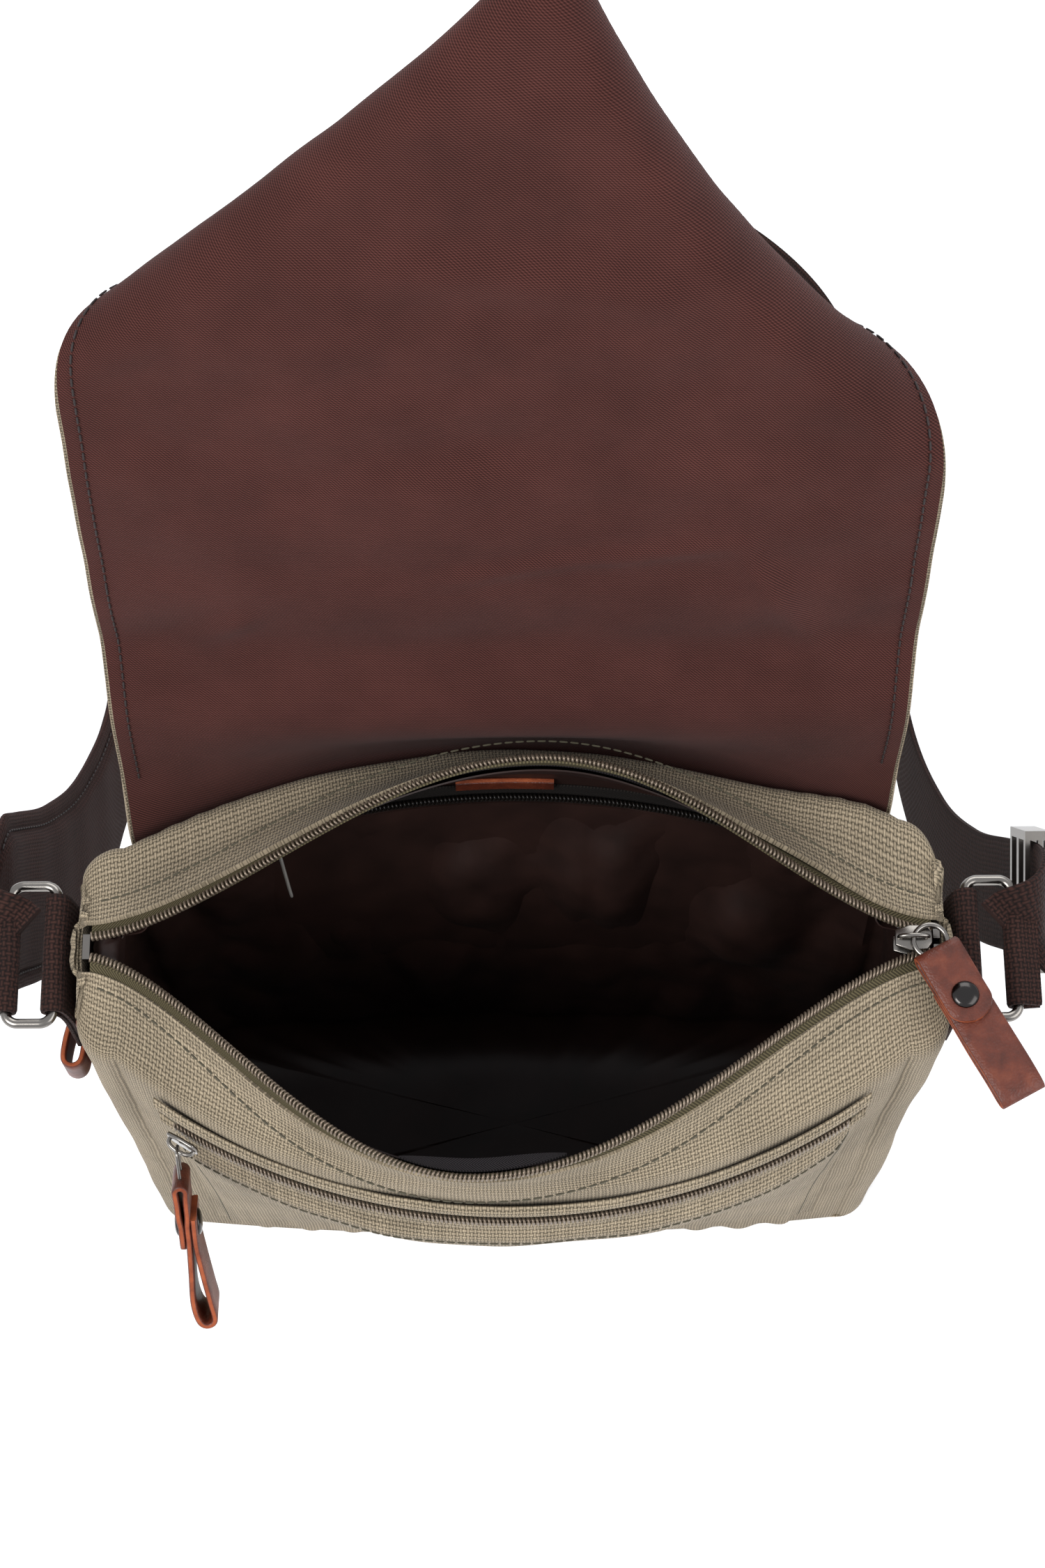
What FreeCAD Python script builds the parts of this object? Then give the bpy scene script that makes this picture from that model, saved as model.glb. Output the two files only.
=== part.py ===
import FreeCAD, Part
import math
import os
import Sketcher

from FreeCAD import Placement, Rotation, Vector

# Messenger bag in canvas, standing on its base, flap thrown up and mouth unzipped.
# Frame: origin on the floor under the centre of the base, +X right, +Y back (the flap's side), +Z up.
# Millimetres and degrees throughout.

doc = FreeCAD.newDocument("messenger_bag")
sheet = doc.addObject("Spreadsheet::Sheet", "Sizes")

DRIVING = [
    ("body_width", 270),        # end to end, over the gussets
    ("end_depth", 72),          # front to back at each end
    ("body_height", 238),       # floor to the top of the walls
    ("corner_radius", 12),      # upright corners
    ("front_bulge", 44),        # how far the open front wall bows out at its top
    ("rear_bulge", 31),
    ("base_bulge", 6),          # the same at the floor
    ("canvas", 1.6),
    ("lining_cloth", 0.6),
    ("gap", 0.3),               # between neighbouring layers
    ("board_thickness", 2),
    ("mouth_front", 78),        # front coil ahead of the zip's line, at the middle
    ("mouth_rear", 50),
    ("front_peak", -12),        # where along the width the mouth is widest, front and rear
    ("rear_peak", 10),
    ("zip_half_length", 131),
    ("zip_level", 243),         # height of the zip at its ends
    ("rim_rise_front", 20),     # how far each band's middle stands above the zip's ends
    ("rim_rise_rear", 32),
    ("tape_show", 6),           # tape seen between coil and canvas
    ("coil_size", 3),
    ("flap_width", 242),
    ("flap_upper_length", 134),
    ("flap_lower_length", 151),
    ("flap_lean", 20),          # the raised flap leans back from upright
    ("hinge_back", 53),         # the flap's bending line behind the zip line
    ("hinge_level", 284),
    ("apex_side", 10),          # the point that the raised flap hangs from, right of centre
    ("webbing_width", 38),
    ("webbing_thickness", 2),
    ("pad_width", 60),
    ("pad_thickness", 6),
    ("ring_length", 48),
    ("ring_width", 18),
    ("ring_wire", 3.2),
    ("ring_level", 235),
    ("ring_side", 143),         # inner bar of each side ring from the middle
    ("pull_width", 15),
    ("pull_length", 52),
    ("pull_thickness", 4.4),
    ("rivet_diameter", 9),
    ("pocket_half_width", 112),
    ("pocket_top", 212),
    ("pocket_bottom", 18),
    ("pocket_depth", 6),
]
for row, (name, value) in enumerate(DRIVING, start=1):
    sheet.set(f"A{row}", name)
    sheet.set(f"B{row}", str(value))
    sheet.setAlias(f"B{row}", name)
doc.recompute()
S = {name: float(sheet.get(name)) for name, value in DRIVING}

UNTURNED = Rotation()
kept = []


def keep(feature, label):
    """Names a finished sub-part, which also names its file."""
    feature.Label = label
    kept.append(feature)
    return feature


def shaped(label, shape, placement=Placement()):
    """A sub-part whose shape comes from Part's own functions."""
    feature = doc.addObject("Part::Feature", label)
    feature.Shape = shape
    feature.Placement = placement
    return keep(feature, label)


def origin_plane(body, role):
    return next(plane for plane in body.Origin.OriginFeatures if plane.Role == role)


def plate(label, role, outline, thickness, placement=Placement()):
    """A body padded from a closed outline of straight lines on one of its own planes.

    The thickness is the name of a cell; the outline's points are (across, up) on the plane."""
    body = doc.addObject("PartDesign::Body", label)
    sketch = body.newObject("Sketcher::SketchObject", label + "_outline")
    sketch.AttachmentSupport = (origin_plane(body, role), [""])
    sketch.MapMode = "FlatFace"
    corners = [Vector(x, y, 0) for x, y in outline]
    for start, end in zip(corners, corners[1:] + corners[:1]):
        sketch.addGeometry(Part.LineSegment(start, end))
    pad = body.newObject("PartDesign::Pad", label + "_pad")
    pad.Profile = sketch
    pad.setExpression("Length", f"<<Sizes>>.{thickness}")
    body.Tip = pad
    doc.recompute()
    body.Placement = placement
    return body


def rounded_plate(label, size_x, size_y, radius, thickness, placement=Placement()):
    """A rectangular plate with rounded corners; its sizes are expressions on the sheet."""
    body = doc.addObject("PartDesign::Body", label)
    sketch = body.newObject("Sketcher::SketchObject", label + "_outline")
    sketch.AttachmentSupport = (origin_plane(body, "XY_Plane"), [""])
    sketch.MapMode = "FlatFace"
    corners = [Vector(-5, -5, 0), Vector(5, -5, 0), Vector(5, 5, 0), Vector(-5, 5, 0)]
    for start, end in zip(corners, corners[1:] + corners[:1]):
        sketch.addGeometry(Part.LineSegment(start, end))
    for line in range(4):
        sketch.addConstraint(Sketcher.Constraint("Coincident", line, 2, (line + 1) % 4, 1))
    for line, kind in enumerate(["Horizontal", "Vertical", "Horizontal", "Vertical"]):
        sketch.addConstraint(Sketcher.Constraint(kind, line))
    sketch.addConstraint(Sketcher.Constraint("Symmetric", 0, 1, 1, 2, -1, 1))
    across = sketch.addConstraint(Sketcher.Constraint("DistanceX", 0, 1, 0, 2, 10))
    along = sketch.addConstraint(Sketcher.Constraint("DistanceY", 1, 1, 1, 2, 10))
    sketch.setExpression(f"Constraints[{across}]", size_x)
    sketch.setExpression(f"Constraints[{along}]", size_y)
    pad = body.newObject("PartDesign::Pad", label + "_pad")
    pad.Profile = sketch
    pad.setExpression("Length", thickness)
    doc.recompute()
    upright = [
        f"Edge{number}"
        for number, edge in enumerate(pad.Shape.Edges, start=1)
        if abs(edge.tangentAt(edge.FirstParameter).z) > 0.99
    ]
    corner = body.newObject("PartDesign::Fillet", label + "_corners")
    corner.Base = (pad, upright)
    corner.setExpression("Radius", radius)
    body.Tip = corner
    doc.recompute()
    body.Placement = placement
    return keep(body, label)


def spline(points):
    curve = Part.BSplineCurve()
    curve.interpolate([Vector(*point) for point in points])
    return curve.toShape()


def spaced(low, high, count):
    return [low + (high - low) * step / (count - 1) for step in range(count)]


def smooth(share):
    share = min(max(share, 0.0), 1.0)
    return share * share * (3 - 2 * share)


# ---- the bag's plan: flat ends, and a front and a rear wall that bow out in arcs ----

END_X = S["body_width"] / 2
ARC_X = END_X - S["corner_radius"]
END_Y = S["end_depth"] / 2


def arc_rise(x, sagitta):
    """Height above its chord of an arc that spans the wall between its rounded corners."""
    radius = (ARC_X ** 2 + sagitta ** 2) / (2 * sagitta)
    return math.sqrt(radius ** 2 - min(abs(x), ARC_X) ** 2) - (radius - sagitta)


# The walls are ruled between these levels, and so is everything that lies along them.
WALL_LEVELS = (0, 35, 60, 85, 110, 135, 160, 185, 212)


def levels_between(bottom, top):
    """The wall's own levels inside a span, with the span's ends."""
    return [bottom] + [level for level in WALL_LEVELS if bottom < level < top] + [top]


def bowed_share(level):
    """0 at the base and 1 at the pocket's zip: how much of its full bow a wall has."""
    below = max(known for known in WALL_LEVELS if known <= max(level, 0))
    above = min([known for known in WALL_LEVELS if known > level] or [below])
    shares = [smooth(known / S["pocket_top"]) ** 2 for known in (below, above)]
    if above == below:
        return shares[0]
    return shares[0] + (shares[1] - shares[0]) * (level - below) / (above - below)


def sagitta(level, top_bulge):
    return S["base_bulge"] + (top_bulge - S["base_bulge"]) * bowed_share(level)


def wall_y(x, level, side, inset=0.0):
    """Outer face of the front (side -1) or rear (side +1) wall, moved in by the inset."""
    bulge = S["front_bulge"] if side < 0 else S["rear_bulge"]
    return side * (END_Y + arc_rise(x, sagitta(level, bulge)) - inset)


def outline(level, inset):
    """The closed plan of the bag at one level, moved in by the inset."""
    flat_y = END_Y - S["corner_radius"]
    radius = S["corner_radius"] - inset
    end_x = END_X - inset
    turn = radius * math.sqrt(0.5)
    edges = []
    for side in (-1, 1):
        run = spaced(-ARC_X, ARC_X, 13) if side < 0 else spaced(ARC_X, -ARC_X, 13)
        edges.append(spline([(x, wall_y(x, level, side, inset), level) for x in run]))
        x = -side
        start = Vector(x * ARC_X, side * (flat_y + radius), level)
        middle = Vector(x * (ARC_X + turn), side * (flat_y + turn), level)
        end = Vector(x * end_x, side * flat_y, level)
        edges.append(Part.Arc(start, middle, end).toShape())
        edges.append(Part.makeLine(end, Vector(x * end_x, -side * flat_y, level)))
        mirrored = [Vector(p.x, -p.y, p.z) for p in (end, middle, start)]
        edges.append(Part.Arc(*mirrored).toShape())
    return Part.Wire(Part.__sortEdges__(edges))


def filled(bottom, top, inset):
    """The solid inside the plan between two levels."""
    wires = [outline(level, inset) for level in levels_between(bottom, top)]
    return Part.makeLoft(wires, True, True)


def box_between(low, high):
    return Part.makeBox(*[b - a for a, b in zip(low, high)], Vector(*low))


# ---- base and walls ----

rounded_plate(
    "base_panel", "<<Sizes>>.body_width", "<<Sizes>>.end_depth", "<<Sizes>>.corner_radius",
    "<<Sizes>>.canvas",
)
rounded_plate(
    "base_board", "<<Sizes>>.body_width - 10", "<<Sizes>>.end_depth - 10",
    "<<Sizes>>.corner_radius - 5", "<<Sizes>>.board_thickness",
    Placement(Vector(0, 0, S["canvas"] + S["gap"]), UNTURNED),
)
FAR = 400                 # well outside the bag on every side
ABOVE = 300               # well above the walls
SEAM_GAP = 0.1            # on each side of a seam between two pieces of cloth
wall_bottom = S["canvas"] + SEAM_GAP
walls = filled(wall_bottom, S["body_height"], 0).cut(filled(0, ABOVE, S["canvas"]))
split = ARC_X - SEAM_GAP
shaped("front_panel", walls.common(box_between((-split, -FAR, 0), (split, 0, FAR))))
shaped("rear_panel", walls.common(box_between((-split, 0, 0), (split, FAR, FAR))))
for side, label in ((-1, "left_gusset"), (1, "right_gusset")):
    ends = sorted((side * (ARC_X + SEAM_GAP), side * FAR))
    shaped(label, walls.common(box_between((ends[0], -FAR, 0), (ends[1], FAR, FAR))))

# The lining is a cup that stands on the base board, a layer inside the canvas.
lining_inset = S["canvas"] + S["gap"]
lining_bottom = S["canvas"] + S["board_thickness"] + 2 * S["gap"]
lining_top = S["body_height"] - 6      # under the bands
cup = filled(lining_bottom, lining_top, lining_inset)
hollow = filled(lining_bottom + S["lining_cloth"], ABOVE, lining_inset + S["lining_cloth"])
shaped("lining", cup.cut(hollow))


# ---- top bands, zip tapes and coils: strips carried along the width of the mouth ----

COIL_OFF_MIDDLE = 2.2     # from the zip's line to each coil row where the two rows meet
BAND_DOME = 3.0           # how far a band stands off a straight line from coil to wall
TAPE_SPAN = (1.8, 12)     # near and far edges of a tape, down the band from the coil
FRONT_BINDING_SPAN, REAR_BINDING_SPAN = (8.5, 15.5), (16, 27)


def openness(x, peak):
    """0 at the zip's ends and 1 where the mouth is widest."""
    half = S["zip_half_length"]
    reach_x = half - peak if x > peak else half + peak
    share = min(abs(x - peak) / reach_x, 1.0)
    return max(math.cos(math.pi / 2 * share), 0.0) ** 1.5


def coil_point(x, side):
    """Middle of the coil row on the front (-1) or rear (+1) edge of the mouth."""
    peak = S["front_peak"] if side < 0 else S["rear_peak"]
    width = S["mouth_front"] if side < 0 else S["mouth_rear"]
    rise = S["rim_rise_front"] if side < 0 else S["rim_rise_rear"]
    share = openness(x, peak)
    y = side * (COIL_OFF_MIDDLE + (width - COIL_OFF_MIDDLE) * share)
    return Vector(x, y, S["zip_level"] + rise * share ** 1.2)


def band_root(x, side):
    """Where the band is sewn to the top of the wall."""
    level = S["body_height"] + 2
    if abs(x) <= ARC_X:
        return Vector(x, wall_y(x, level, side), level)
    over = abs(x) - ARC_X
    flat_y = END_Y - S["corner_radius"]
    y = flat_y + math.sqrt(max(S["corner_radius"] ** 2 - over ** 2, 0))
    return Vector(x, side * y, level)


def band_axes(x, side):
    """The coil, the way from it down to the wall, and the band's outward normal."""
    coil = coil_point(x, side)
    down = band_root(x, side) - coil
    width = down.Length
    down = down * (1 / width)
    normal = Vector(0, -down.z, down.y) * side
    return coil, down, normal, width


def strip(label, stations, section):
    """A solid carried through the stations; each section is a closed line of points."""
    wires = []
    for station in stations:
        points = section(station)
        wires.append(Part.makePolygon(points + points[:1]))
    return shaped(label, Part.makeLoft(wires, True, False))


def band_section(side):
    def section(x):
        coil, down, normal, width = band_axes(x, side)
        lay = S["tape_show"]
        rows = []
        for share in spaced(0, 1, 5):
            along = lay + (width - lay) * share
            dome = BAND_DOME * math.sin(math.pi * share)
            rows.append((coil + down * along, dome))
        outer = [point + normal * dome for point, dome in rows]
        inner = [point + normal * (dome - S["canvas"] + SEAM_GAP) for point, dome in rows]
        return outer + inner[::-1]
    return section


def tape_section(side):
    def section(x):
        coil, down, normal, width = band_axes(x, side)
        near, far = coil + down * TAPE_SPAN[0], coil + down * TAPE_SPAN[1]
        top, under = -S["canvas"] - 0.2, -S["canvas"] - 0.9
        return [near + normal * top, far + normal * top, far + normal * under, near + normal * under]
    return section


def coil_section(side):
    def section(x):
        coil, down, normal, width = band_axes(x, side)
        half = S["coil_size"] / 2
        middle = coil + normal * (-S["canvas"] - 0.5)
        return [
            middle + down * (half * a) + normal * (half * b)
            for a, b in ((-1, -1), (1, -1), (1, 1), (-1, 1))
        ]
    return section


zip_stations = spaced(-S["zip_half_length"], S["zip_half_length"], 19)
band_stations = spaced(-END_X + 2, END_X - 2, 19)
for side, name in ((-1, "front"), (1, "rear")):
    strip(f"{name}_top_band", band_stations, band_section(side))
    strip(f"{name}_zip_tape", zip_stations, tape_section(side))
    strip(f"{name}_zip_coil", zip_stations, coil_section(side))

# One wide stop closes the left end; at the right end each row has its own stop.
STOP_SIZE = 3
stop_level = S["zip_level"] - STOP_SIZE
stop_near = S["zip_half_length"] + 0.2
shaped("zip_end_stops", Part.makeCompound([
    box_between((-stop_near - 2.2, -4, stop_level), (-stop_near, 4, stop_level + STOP_SIZE)),
    box_between((stop_near, -4, stop_level), (stop_near + 2, -1, stop_level + STOP_SIZE)),
    box_between((stop_near, 1, stop_level), (stop_near + 2, 4, stop_level + STOP_SIZE)),
]))


def binding_section(side):
    def section(x):
        coil, down, normal, width = band_axes(x, side)
        reach = FRONT_BINDING_SPAN if side < 0 else REAR_BINDING_SPAN
        near, far = coil + down * reach[0], coil + down * reach[1]
        top, under = -S["canvas"] - 1.6, -S["canvas"] - 2.4
        return [near + normal * top, far + normal * top, far + normal * under, near + normal * under]
    return section


for side, name in ((-1, "front_binding"), (1, "rear_binding")):
    strip(name, spaced(-62, 62, 7), binding_section(side))


# ---- front pocket, bowed in the same arcs as the front wall ----

POCKET_CLOTH = 1.4        # canvas and its turned edge, top and bottom
EDGE_RUN = 12             # the pocket's face reaches its full depth this far in from its edge


def pocket_outline(level, lift):
    half = S["pocket_half_width"]
    run = spaced(-half, half, 13)
    base = [(x, wall_y(x, level, -1) - S["gap"], level) for x in run]
    face = []
    for x in run:
        edge = smooth((half - abs(x)) / EDGE_RUN)
        face.append((x, wall_y(x, level, -1) - S["gap"] - 2 - lift * edge, level))
    edges = [spline(base), Part.makeLine(Vector(*base[-1]), Vector(*face[-1]))]
    edges += [spline(face[::-1]), Part.makeLine(Vector(*face[0]), Vector(*base[0]))]
    return Part.Wire(edges)


def pocket_solid(bottom, top, lift):
    wires = [pocket_outline(level, lift) for level in levels_between(bottom, top)]
    return Part.makeLoft(wires, True, True)


pocket_outer = pocket_solid(S["pocket_bottom"], S["pocket_top"], S["pocket_depth"])
inside_levels = levels_between(S["pocket_bottom"] + POCKET_CLOTH, S["pocket_top"] - POCKET_CLOTH)


def pocket_room(level):
    """The space inside the pocket at one level."""
    half = S["pocket_half_width"] - 4
    run = spaced(-half, half, 13)
    base = [(x, wall_y(x, level, -1) - S["gap"] - 0.8, level) for x in run]
    face = []
    for x in run:
        edge = smooth((half + 4 - abs(x)) / EDGE_RUN)
        lift = 0.6 + S["pocket_depth"] * edge
        face.append((x, wall_y(x, level, -1) - S["gap"] - lift, level))
    face = [(x, min(y, base[i][1] - 0.4), z) for i, (x, y, z) in enumerate(face)]
    edges = [spline(base), Part.makeLine(Vector(*base[-1]), Vector(*face[-1]))]
    edges += [spline(face[::-1]), Part.makeLine(Vector(*face[0]), Vector(*base[0]))]
    return Part.Wire(edges)


pocket_hollow = Part.makeLoft([pocket_room(level) for level in inside_levels], True, True)
shaped("front_pocket", pocket_outer.cut(pocket_hollow))

zip_bulge = S["front_bulge"]
ZIP_RADIUS = (ARC_X ** 2 + zip_bulge ** 2) / (2 * zip_bulge)
ZIP_CENTRE_Y = ZIP_RADIUS - zip_bulge - END_Y
REAR_RADIUS = (ARC_X ** 2 + S["rear_bulge"] ** 2) / (2 * S["rear_bulge"])
REAR_CENTRE_Y = END_Y + S["rear_bulge"] - REAR_RADIUS


def pocket_arc(label, inner, outer, bottom, top, half_angle):
    """A strip that follows the pocket's zip, cut from a ring about the wall's own centre."""
    ring = Part.makeCylinder(ZIP_RADIUS + outer, top - bottom, Vector(0, 0, bottom))
    ring = ring.cut(Part.makeCylinder(ZIP_RADIUS + inner, top - bottom, Vector(0, 0, bottom)))
    spread = FAR * math.tan(math.radians(half_angle))
    wedge = Part.makePolygon([
        Vector(0, 0, bottom), Vector(-spread, -FAR, bottom), Vector(spread, -FAR, bottom),
        Vector(0, 0, bottom),
    ])
    wedge = Part.Face(wedge).extrude(Vector(0, 0, top - bottom))
    return shaped(label, ring.common(wedge), Placement(Vector(0, ZIP_CENTRE_Y, 0), UNTURNED))


pocket_arc("pocket_zip_tape", 0.6, 1.3, 213, 228, 33.6)
pocket_arc("pocket_zip_coil", 1.5, 4.0, 218.5, 222.5, 33)


# ---- pockets inside, and the blank leather strip ----

def lining_face(x, level, side, inset):
    return wall_y(x, level, side, lining_inset + S["lining_cloth"] + inset)


def wall_patch(label, side, half, low, high, near, far, middle=0.0):
    """A thin piece that lies along the inside of a wall, from near to far off the lining."""
    def section(x):
        levels = levels_between(low, high)
        faces = [
            [Vector(x, lining_face(x, level, side, depth), level) for level in levels]
            for depth in (near, far)
        ]
        return faces[0] + faces[1][::-1]
    return strip(label, spaced(middle - half, middle + half, 9), section)


wall_patch("inner_pocket_pouch", 1, 92, 96, 196, 0.4, 1.4)
wall_patch("inner_pocket_tape", 1, 92, 200, 214, 0.4, 1.1)
wall_patch("inner_pocket_coil", 1, 90, 205.5, 208.5, 1.3, 2.6)
wall_patch("label_strip", 1, 16, 219, 229, 0.4, 2.0, middle=-2)
wall_patch("slip_pocket", -1, 80, 60, 165, 0.4, 1.4)


# ---- flap ----

FLAP_HALF = S["flap_width"] / 2
HINGE = Vector(0, S["hinge_back"], S["hinge_level"])


def root_section(x):
    """The sewn strip climbs behind the rear band, from the wall to the flap's bending line."""
    low = Vector(x, wall_y(x, S["body_height"], 1) + 0.6, S["body_height"] - 4)
    knee = Vector(x, max(wall_y(x, S["body_height"], 1) + 0.8, HINGE.y + 4), S["body_height"] + 8)
    high = HINGE + Vector(x, 5.0, -6)
    thickness = Vector(0, 2.4, 0)
    return [low, knee, high, high + thickness, knee + thickness, low + thickness]


strip("flap_root", spaced(-FLAP_HALF, FLAP_HALF, 11), root_section)

# The plates are drawn flat, X across and Y up the flap from its bending line, and then stood
# up to the flap's lean: lining in front, canvas behind.
lean = Rotation(Vector(1, 0, 0), 90 - S["flap_lean"])
up_flap = lean.multVec(Vector(0, 1, 0))
out_of_lining = lean.multVec(Vector(0, 0, 1))


def flap_layer(label, points, thickness, start):
    """One layer of the flap; start is its near face, behind the lining's face."""
    shift = out_of_lining * (-start - S[thickness])
    return keep(plate(label, "XY_Plane", points, thickness, Placement(HINGE + shift, lean)), label)


upper_start = 4
upper_end = S["flap_upper_length"] - 0.4
lower_start = S["flap_upper_length"] + 0.4
lower_end = S["flap_upper_length"] + S["flap_lower_length"]
APEX_HALF = 12
shoulder_left, shoulder_right = 148, 138
upper = [(-FLAP_HALF, upper_start), (FLAP_HALF, upper_start), (FLAP_HALF, upper_end),
         (-FLAP_HALF, upper_end)]
lower = [
    (-FLAP_HALF, lower_start), (FLAP_HALF, lower_start), (FLAP_HALF, shoulder_right),
    (S["apex_side"] + APEX_HALF, lower_end), (S["apex_side"] - APEX_HALF, lower_end),
    (-FLAP_HALF, shoulder_left),
]
for part, points in (("upper", upper), ("lower", lower)):
    flap_layer(f"flap_{part}_lining", points, "lining_cloth", 0)
    flap_layer(f"flap_{part}_canvas", points, "canvas", S["lining_cloth"] + 0.1)


def mirrored_corner(shoulder, side):
    """The corner beyond the fold, turned over about the fold's line."""
    start = Vector(side * FLAP_HALF, shoulder, 0)
    end = Vector(S["apex_side"] + side * APEX_HALF, lower_end, 0)
    along = (end - start).normalize()
    points = []
    for corner in (start, Vector(side * FLAP_HALF, lower_end, 0), end):
        on_line = start + along * (corner - start).dot(along)
        points.append(on_line * 2 - corner)
    return [(point.x, point.y) for point in points]


for side, shoulder, name, behind in (
    (-1, shoulder_left, "left", 13),
    (1, shoulder_right, "right", 17),
):
    flap_layer(f"flap_corner_{name}", mirrored_corner(shoulder, side), "canvas", behind)


# ---- side hardware ----

def rounded_frame(length_x, length_y, corner, wire_size):
    """A closed wire frame, flat in XY about the origin."""
    half_x, half_y = length_x / 2 - wire_size / 2, length_y / 2 - wire_size / 2
    turn = corner * (1 - math.sqrt(0.5))
    edges = []
    for sx, sy in ((1, 1), (-1, 1), (-1, -1), (1, -1)):
        swap = sx * sy < 0
        start = Vector(sx * half_x, sy * (half_y - corner), 0)
        middle = Vector(sx * (half_x - turn), sy * (half_y - turn), 0)
        end = Vector(sx * (half_x - corner), sy * half_y, 0)
        run = (end, middle, start) if swap else (start, middle, end)
        if edges:
            edges.append(Part.makeLine(edges[-1].Vertexes[-1].Point, run[0]))
        edges.append(Part.Arc(*run).toShape())
    edges.append(Part.makeLine(edges[-1].Vertexes[-1].Point, edges[0].Vertexes[0].Point))
    path = Part.Wire(edges)
    seam = edges[0].Vertexes[0].Point
    seam_way = edges[0].tangentAt(edges[0].FirstParameter)
    circle = Part.Wire(Part.makeCircle(wire_size / 2, seam, seam_way))
    return path.makePipeShell([circle], True, False)


for side, name in ((-1, "left"), (1, "right")):
    centre = side * (S["ring_side"] + S["ring_width"] / 2 - S["ring_wire"] / 2)
    shaped(f"{name}_ring", rounded_frame(S["ring_width"], S["ring_length"], 4, S["ring_wire"]),
           Placement(Vector(centre, 0, S["ring_level"]), UNTURNED))

    near = END_X + 0.2
    half = S["webbing_width"] / 2
    patch = sorted((side * near, side * (near + 1.8)))
    patch_body = box_between((patch[0], -half - 2, 128), (patch[1], half + 2, 226))
    shaped(f"{name}_side_patch", patch_body)

    strap_x = sorted((side * (near + 2.0), side * (near + 3.8)))
    bar = Vector(side * S["ring_side"], -half, S["ring_level"])
    outer_r, inner_r = S["ring_wire"] / 2 + 2.1, S["ring_wire"] / 2 + 0.3
    tube = Part.makeCylinder(outer_r, 2 * half, bar, Vector(0, 1, 0))
    tube = tube.cut(Part.makeCylinder(inner_r, 2 * half, bar, Vector(0, 1, 0)))
    sewn = box_between((strap_x[0], -half, 140), (strap_x[1], half, S["ring_level"] - 1))
    bridge = sorted((side * (near + 2.0), side * (S["ring_side"] - inner_r - 0.6)))
    joiner = box_between((bridge[0], -half, S["ring_level"] - 1.6),
                         (bridge[1], half, S["ring_level"] + 1.6))
    shaped(f"{name}_webbing_tab", tube.fuse([sewn, joiner]).removeSplitter())

loop_outer = box_between((-END_X - 11, -24, 178), (-END_X - 4.3, -3, 193))
loop_hole = Part.makeCylinder(2, 20, Vector(-END_X - 7.6, -18, 176), Vector(0, 0, 1))
shaped("left_side_loop", loop_outer.cut(loop_hole))


# ---- strap: one long loop that lies behind the bag ----

ROUTE = [
    # place on the right side, and the way across the band there
    ((160.4, 0, 235), (0, 1, 0)),
    ((166, 6, 233), (0, 0.96, 0.28)),
    ((169, 16, 224), (0, 0.86, 0.51)),
    ((169, 26, 204), (0, 0.92, 0.39)),
    ((167, 38, 172), (0, 0.93, 0.38)),
    ((163, 56, 130), (0, 0.88, 0.48)),
    ((158, 84, 88), (0, 0.73, 0.68)),
    ((153, 130, 50), (0, 0.47, 0.88)),
    ((149, 196, 29), (0, 0.20, 0.98)),
    ((146, 262, 22), (0, 0.05, 1)),
    ((136, 330, 21), (0, 0, 1)),
    ((100, 374, 21), (0, 0, 1)),
    ((52, 391, 26), (0, 0, 1)),
    ((0, 396, 32), (0, 0, 1)),
]
# The left side mirrors the right one, but lies higher on the floor because the pad is wider.
PAD_LEVEL = 32
STRAP = ROUTE + [
    ((-x, y, max(z, PAD_LEVEL)), across) for (x, y, z), across in ROUTE[-2::-1]
]


def band_along(stations, width, thickness):
    """A flat band's solid through some of the strap's stations."""
    wires = []
    for number in stations:
        here, across = Vector(*STRAP[number][0]), Vector(*STRAP[number][1]).normalize()
        before = Vector(*STRAP[max(number - 1, 0)][0])
        after = Vector(*STRAP[min(number + 1, len(STRAP) - 1)][0])
        face = (after - before).cross(across).normalize()
        half, deep = width / 2, thickness / 2
        points = [
            here + across * (a * half) + face * (b * deep)
            for a, b in ((-1, -1), (1, -1), (1, 1), (-1, 1))
        ]
        wires.append(Part.makePolygon(points + points[:1]))
    return Part.makeLoft(wires, True, True)


last = len(STRAP) - 1
pad_start, pad_end = 14, last - 3
web = (S["webbing_width"], S["webbing_thickness"])
shaped("strap_webbing_right", band_along(range(0, pad_start + 1), *web))
shaped("strap_webbing_left", band_along(range(pad_end, last + 1), *web))
pad_range = range(pad_start, pad_end + 1)
pad_block = band_along(pad_range, S["pad_width"], S["pad_thickness"])
foam_block = band_along(pad_range, S["pad_width"] - 14, S["pad_thickness"] - 2)
foam_room = band_along(pad_range, S["pad_width"] - 13.4, S["pad_thickness"] - 1.6)
shaped("shoulder_pad_cover", pad_block.cut(foam_room))
shaped("shoulder_pad_foam", foam_block)

adjuster_frame = box_between((-4.0, -23, -12), (4.0, 23, 12))
for low in (-9.4, 1.6):
    adjuster_frame = adjuster_frame.cut(box_between((-6, -20, low), (6, 20, low + 7.8)))
adjuster_frame = adjuster_frame.cut(box_between((-2.4, -20, -20), (2.4, 20, 20)))


# ---- zip sliders and pulls ----

def slider_body(length, width, level_top, level_bottom, post):
    """Two plates joined by a post, with a bridge over the top; the zip runs along X."""
    half_l, half_w = length / 2, width / 2
    top = box_between((-half_l, -half_w, level_top), (half_l, half_w, level_top + 1.6))
    bottom = box_between((-half_l, -half_w, level_bottom - 1.6), (half_l, half_w, level_bottom))
    middle = box_between((-half_l + 2, -post, level_bottom - 0.5), (-half_l + 5, post, level_top + 0.5))
    bridge = box_between((-half_l + 1, -1.2, level_top + 1), (half_l - 1, 1.2, level_top + 4.8))
    tunnel = box_between((-half_l + 2.4, -2, level_top + 1.6), (half_l - 2.4, 2, level_top + 3.8))
    return top.fuse([bottom, middle, bridge]).cut(tunnel).removeSplitter()


RIVET_AT = 15


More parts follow.
